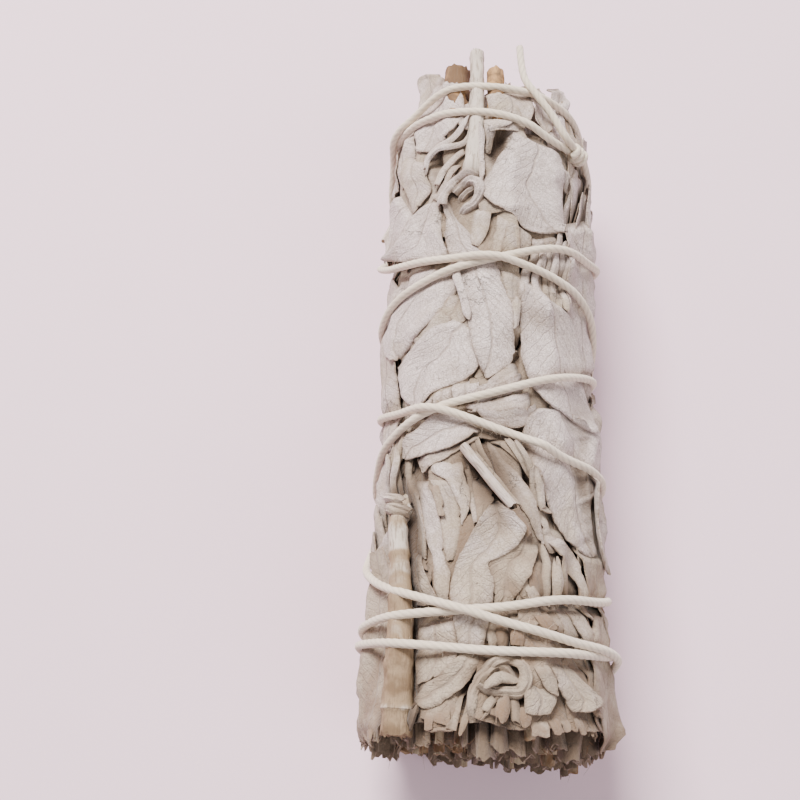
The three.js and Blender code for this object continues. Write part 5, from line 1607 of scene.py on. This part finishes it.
def packed_middle():
    """The pressed inside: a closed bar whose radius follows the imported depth, rounded in at both ends."""
    rows, sides = 60, 140
    t = np.linspace(0, 1, rows)[:, None]
    sideways = np.linspace(0, TURN, sides + 1)[None, :-1] + 0 * t
    along = MIDDLE_FROM + t * (MIDDLE_TO - MIDDLE_FROM) + 0 * sideways
    out = read(packed + level, along, sideways) - 0.3
    out = out * (0.02 + 0.98 * np.clip(1 - np.abs(2 * t - 1) ** 30, 0, 1) ** 0.5)
    points = place(along, sideways, out)
    faces, tris = ring_faces(rows, sides, flip=True)
    points = np.concatenate([points.reshape(-1, 3), points[0].mean(0)[None], points[-1].mean(0)[None]])
    one = np.ones(len(points))
    spot = np.concatenate([np.stack([sideways, along, 0 * along], -1).reshape(-1, 3), np.zeros((2, 3))])
    # brownish straw inside, with painted shade from a depth of 2.2 mm everywhere
    return dict(points=points, faces=faces, tris=tris, tone=0.85 * one, deep=2.2 * one, rim=0 * one,
                veins=0.2 * one, spot=spot)


piece = make_piece("packed_middle", joined([packed_middle(), *middle_parts]), LEAF_VALUES, leaf_felt)
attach(piece, "root")
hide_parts("heart_sprig_left", "heart_sprig_right")


# ---- the string ----------------------------------------------------------------------------------

WINDING_HAIRS = 900
TAIL_HAIRS = 60
STRANDS = 4
LAY = 5.2                    # mm for one whole turn of the strands
TAUT = 30                    # passes of draping for the string
TAUT_CROSSING = 40           # and again for its crossings
HALF_TURN = 180              # in steps of its route
SEATED = 0.72                # its middle above the leaves, in shares of its radius
CROSSED = 0.92               # the middles of two crossing turns, in shares of its thickness


def taut_out(along, sideways):
    """A taut string lies on the high leaves and spans the low ones: the highest surface near it,
    times the cosine of how far round that is."""
    reach = np.radians(np.arange(-14, 15, 2))
    found = [read(surface, along, sideways + d * ROUND) * np.cos(d) for d in reach]
    return np.max(found, axis=0)


def lifted_at_crossings(along, sideways, out):
    """Where the string comes back over itself it rides on the turn below: its height is that turn's
    plus the root of (thickness squared - distance squared)."""
    apart = STRING_DIAMETER * CROSSED
    n = len(along)
    later, sooner = np.meshgrid(np.arange(0, n, 2), np.arange(0, n, 2), indexing="ij")
    side = sideways[later] - sideways[sooner]
    side -= TURN * np.rint(side / TURN)
    away = np.hypot(along[later] - along[sooner], side)
    near = (away < apart) & (later - sooner > HALF_TURN)
    for _ in range(4):
        need = np.where(near, out[sooner] + np.sqrt(np.clip(apart**2 - away**2, 0, None)), 0).max(1)
        floor = np.maximum(out, np.interp(np.arange(n), np.arange(0, n, 2), need))
        out = drape(floor[:, None], TAUT_CROSSING)[:, 0]
    return out


taut = taut_out(string_along, string_sideways) + STRING_RADIUS * SEATED
taut = drape(taut[:, None], TAUT)[:, 0]
string_out = lifted_at_crossings(string_along, string_sideways, taut)
string_out = np.minimum(string_out, ground_out(string_sideways, AXIS_HEIGHT - STRING_RADIUS - STRING_CLEAR))


def string_mesh(path, up):
    """Strands twisted: radius = R (0.82 + 0.12 |cos (strands / 2) (turn - twist)| to the power 0.8)."""
    sides = 18
    run = run_along(path) / MM
    turn = 2 * np.pi * np.arange(sides) / sides
    strand = turn[None, :] - run[:, None] * 2 * np.pi / LAY
    lobe = np.abs(np.cos(STRANDS / 2 * strand))
    part = rod_mesh(path, up, STRING_RADIUS * MM * (0.82 + 0.12 * lobe**0.8), 0.0, cut=0.4)
    at = with_caps(len(path))
    # how far into a groove between strands each point lies, for the painted shade there
    groove = (1 - lobe) ** 1.5
    part["groove"] = np.r_[groove[at].ravel(), 0, 0]
    spot = np.stack([STRING_RADIUS * np.cos(strand), run[:, None] + 0 * strand,
                     STRING_RADIUS * np.sin(strand)], -1)[at]
    part["spot"] = np.concatenate([spot.reshape(-1, 3), spot[0, :1], spot[-1, :1]])
    return part


def fuzz(path, count):
    """Loose cotton hairs: each starts on the string and goes off in a curl."""
    at = rng.integers(4, len(path) - 4, count)
    ahead = unit(path[at + 1] - path[at - 1])
    off = rng.normal(0, 1, (count, 3))
    off = unit(off - (off * ahead).sum(1)[:, None] * ahead)
    drift = ahead * rng.uniform(-1, 1, (count, 1)) + 0.5 * rng.normal(0, 1, (count, 3))
    start = path[at] + off * STRING_RADIUS * 0.7 * MM
    return hairs(start, off, drift * 0.7, rng.uniform(0.5, 1.5, count), 0.016, 0.0)


def knot_path(centre, outward, ahead):
    """The string wrapped two and a half times round itself: a helix, a little flat, that goes 1.1 mm
    on in each turn."""
    t = np.linspace(-1.25, 1.25, 81)
    side = np.cross(outward, ahead)
    turn = 2 * np.pi * t
    return centre + MM * (np.outer(1.1 * t, ahead) + np.outer(0.85 * np.cos(turn), outward)
                          + np.outer(1.0 * np.sin(turn), side))


winding = place(string_along, string_sideways, string_out)
tail_line = smooth_line([[KNOT[0], across(KNOT[1]), string_out[0] + 0.6]]
                        + [[a, across(s), o] for a, s, o in TAIL], 90)
tail_path = place(*tail_line.T)
knot_out = away_from_axis(np.array(across(KNOT[1])))
knot_ahead = unit(winding[3] - winding[0])
knot = knot_path(winding[0] + knot_out * 0.4 * MM, knot_out, knot_ahead)
string_parts = [string_mesh(winding, away_from_axis(string_sideways)),
                string_mesh(tail_path, away_from_axis(tail_line[:, 1])),
                string_mesh(knot, np.tile(knot_out, (len(knot), 1))),
                fuzz(winding, WINDING_HAIRS), fuzz(tail_path, TAIL_HAIRS)]
piece = make_piece("cotton_string", joined(string_parts), ("groove", "spot"), soft_cotton)
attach(piece, "root")
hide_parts("string")

# ---- ground, light and camera --------------------------------------------------------------------

GROUND = 3.0                 # half its side, in metres
corners = np.array([[-1, -1, 0], [1, -1, 0], [1, 1, 0], [-1, 1, 0]]) * GROUND
square = dict(points=corners, faces=np.array([[0, 1, 2, 3]]), tris=np.zeros((0, 3), int))
ground = make_piece("ground", square, (), ground_paper)


def stood(name, data, x, y, z, where):
    """A lamp or camera at a place in metres, its axes along x, y and z. It looks along -z."""
    thing = bpy.data.objects.new(name, data)
    bpy.context.scene.collection.objects.link(thing)
    thing.matrix_world = Matrix([[x[i], y[i], z[i], where[i]] for i in range(3)] + [[0, 0, 0, 1]])
    return thing


def soft_light(name, where, size, power, colour):
    """A square soft box that faces the bunch: its place and side in metres, its power in watts."""
    data = bpy.data.lights.new(name, "AREA")
    data.shape = "SQUARE"
    data.size = size
    data.energy = power
    data.color = colour
    z = unit(np.array(where, float))
    x = unit(np.cross([0, 1, 0.01], z))
    stood(name, data, x, np.cross(z, x), z, where)


soft_light("key", (-0.30, 0.55, 0.75), 0.45, 27.5, (1, 0.94, 0.905))
soft_light("fill", (0.6, -0.5, 0.8), 0.8, 6, (1, 0.94, 0.94))
SKY = (1.0, 0.93, 0.94, 1)
SKY_STRENGTH = 0.42
world = bpy.data.worlds.new("studio")
world.use_nodes = True
world.node_tree.nodes["Background"].inputs["Color"].default_value = SKY
world.node_tree.nodes["Background"].inputs["Strength"].default_value = SKY_STRENGTH
bpy.context.scene.world = world

camera_data = bpy.data.cameras.new("camera")
camera_data.lens = SENSOR * FOCAL / VIEW
camera_data.sensor_width = SENSOR
camera_data.clip_start = 0.005
bpy.context.scene.camera = stood("camera", camera_data, view_right, view_up, -look, EYE * MM)
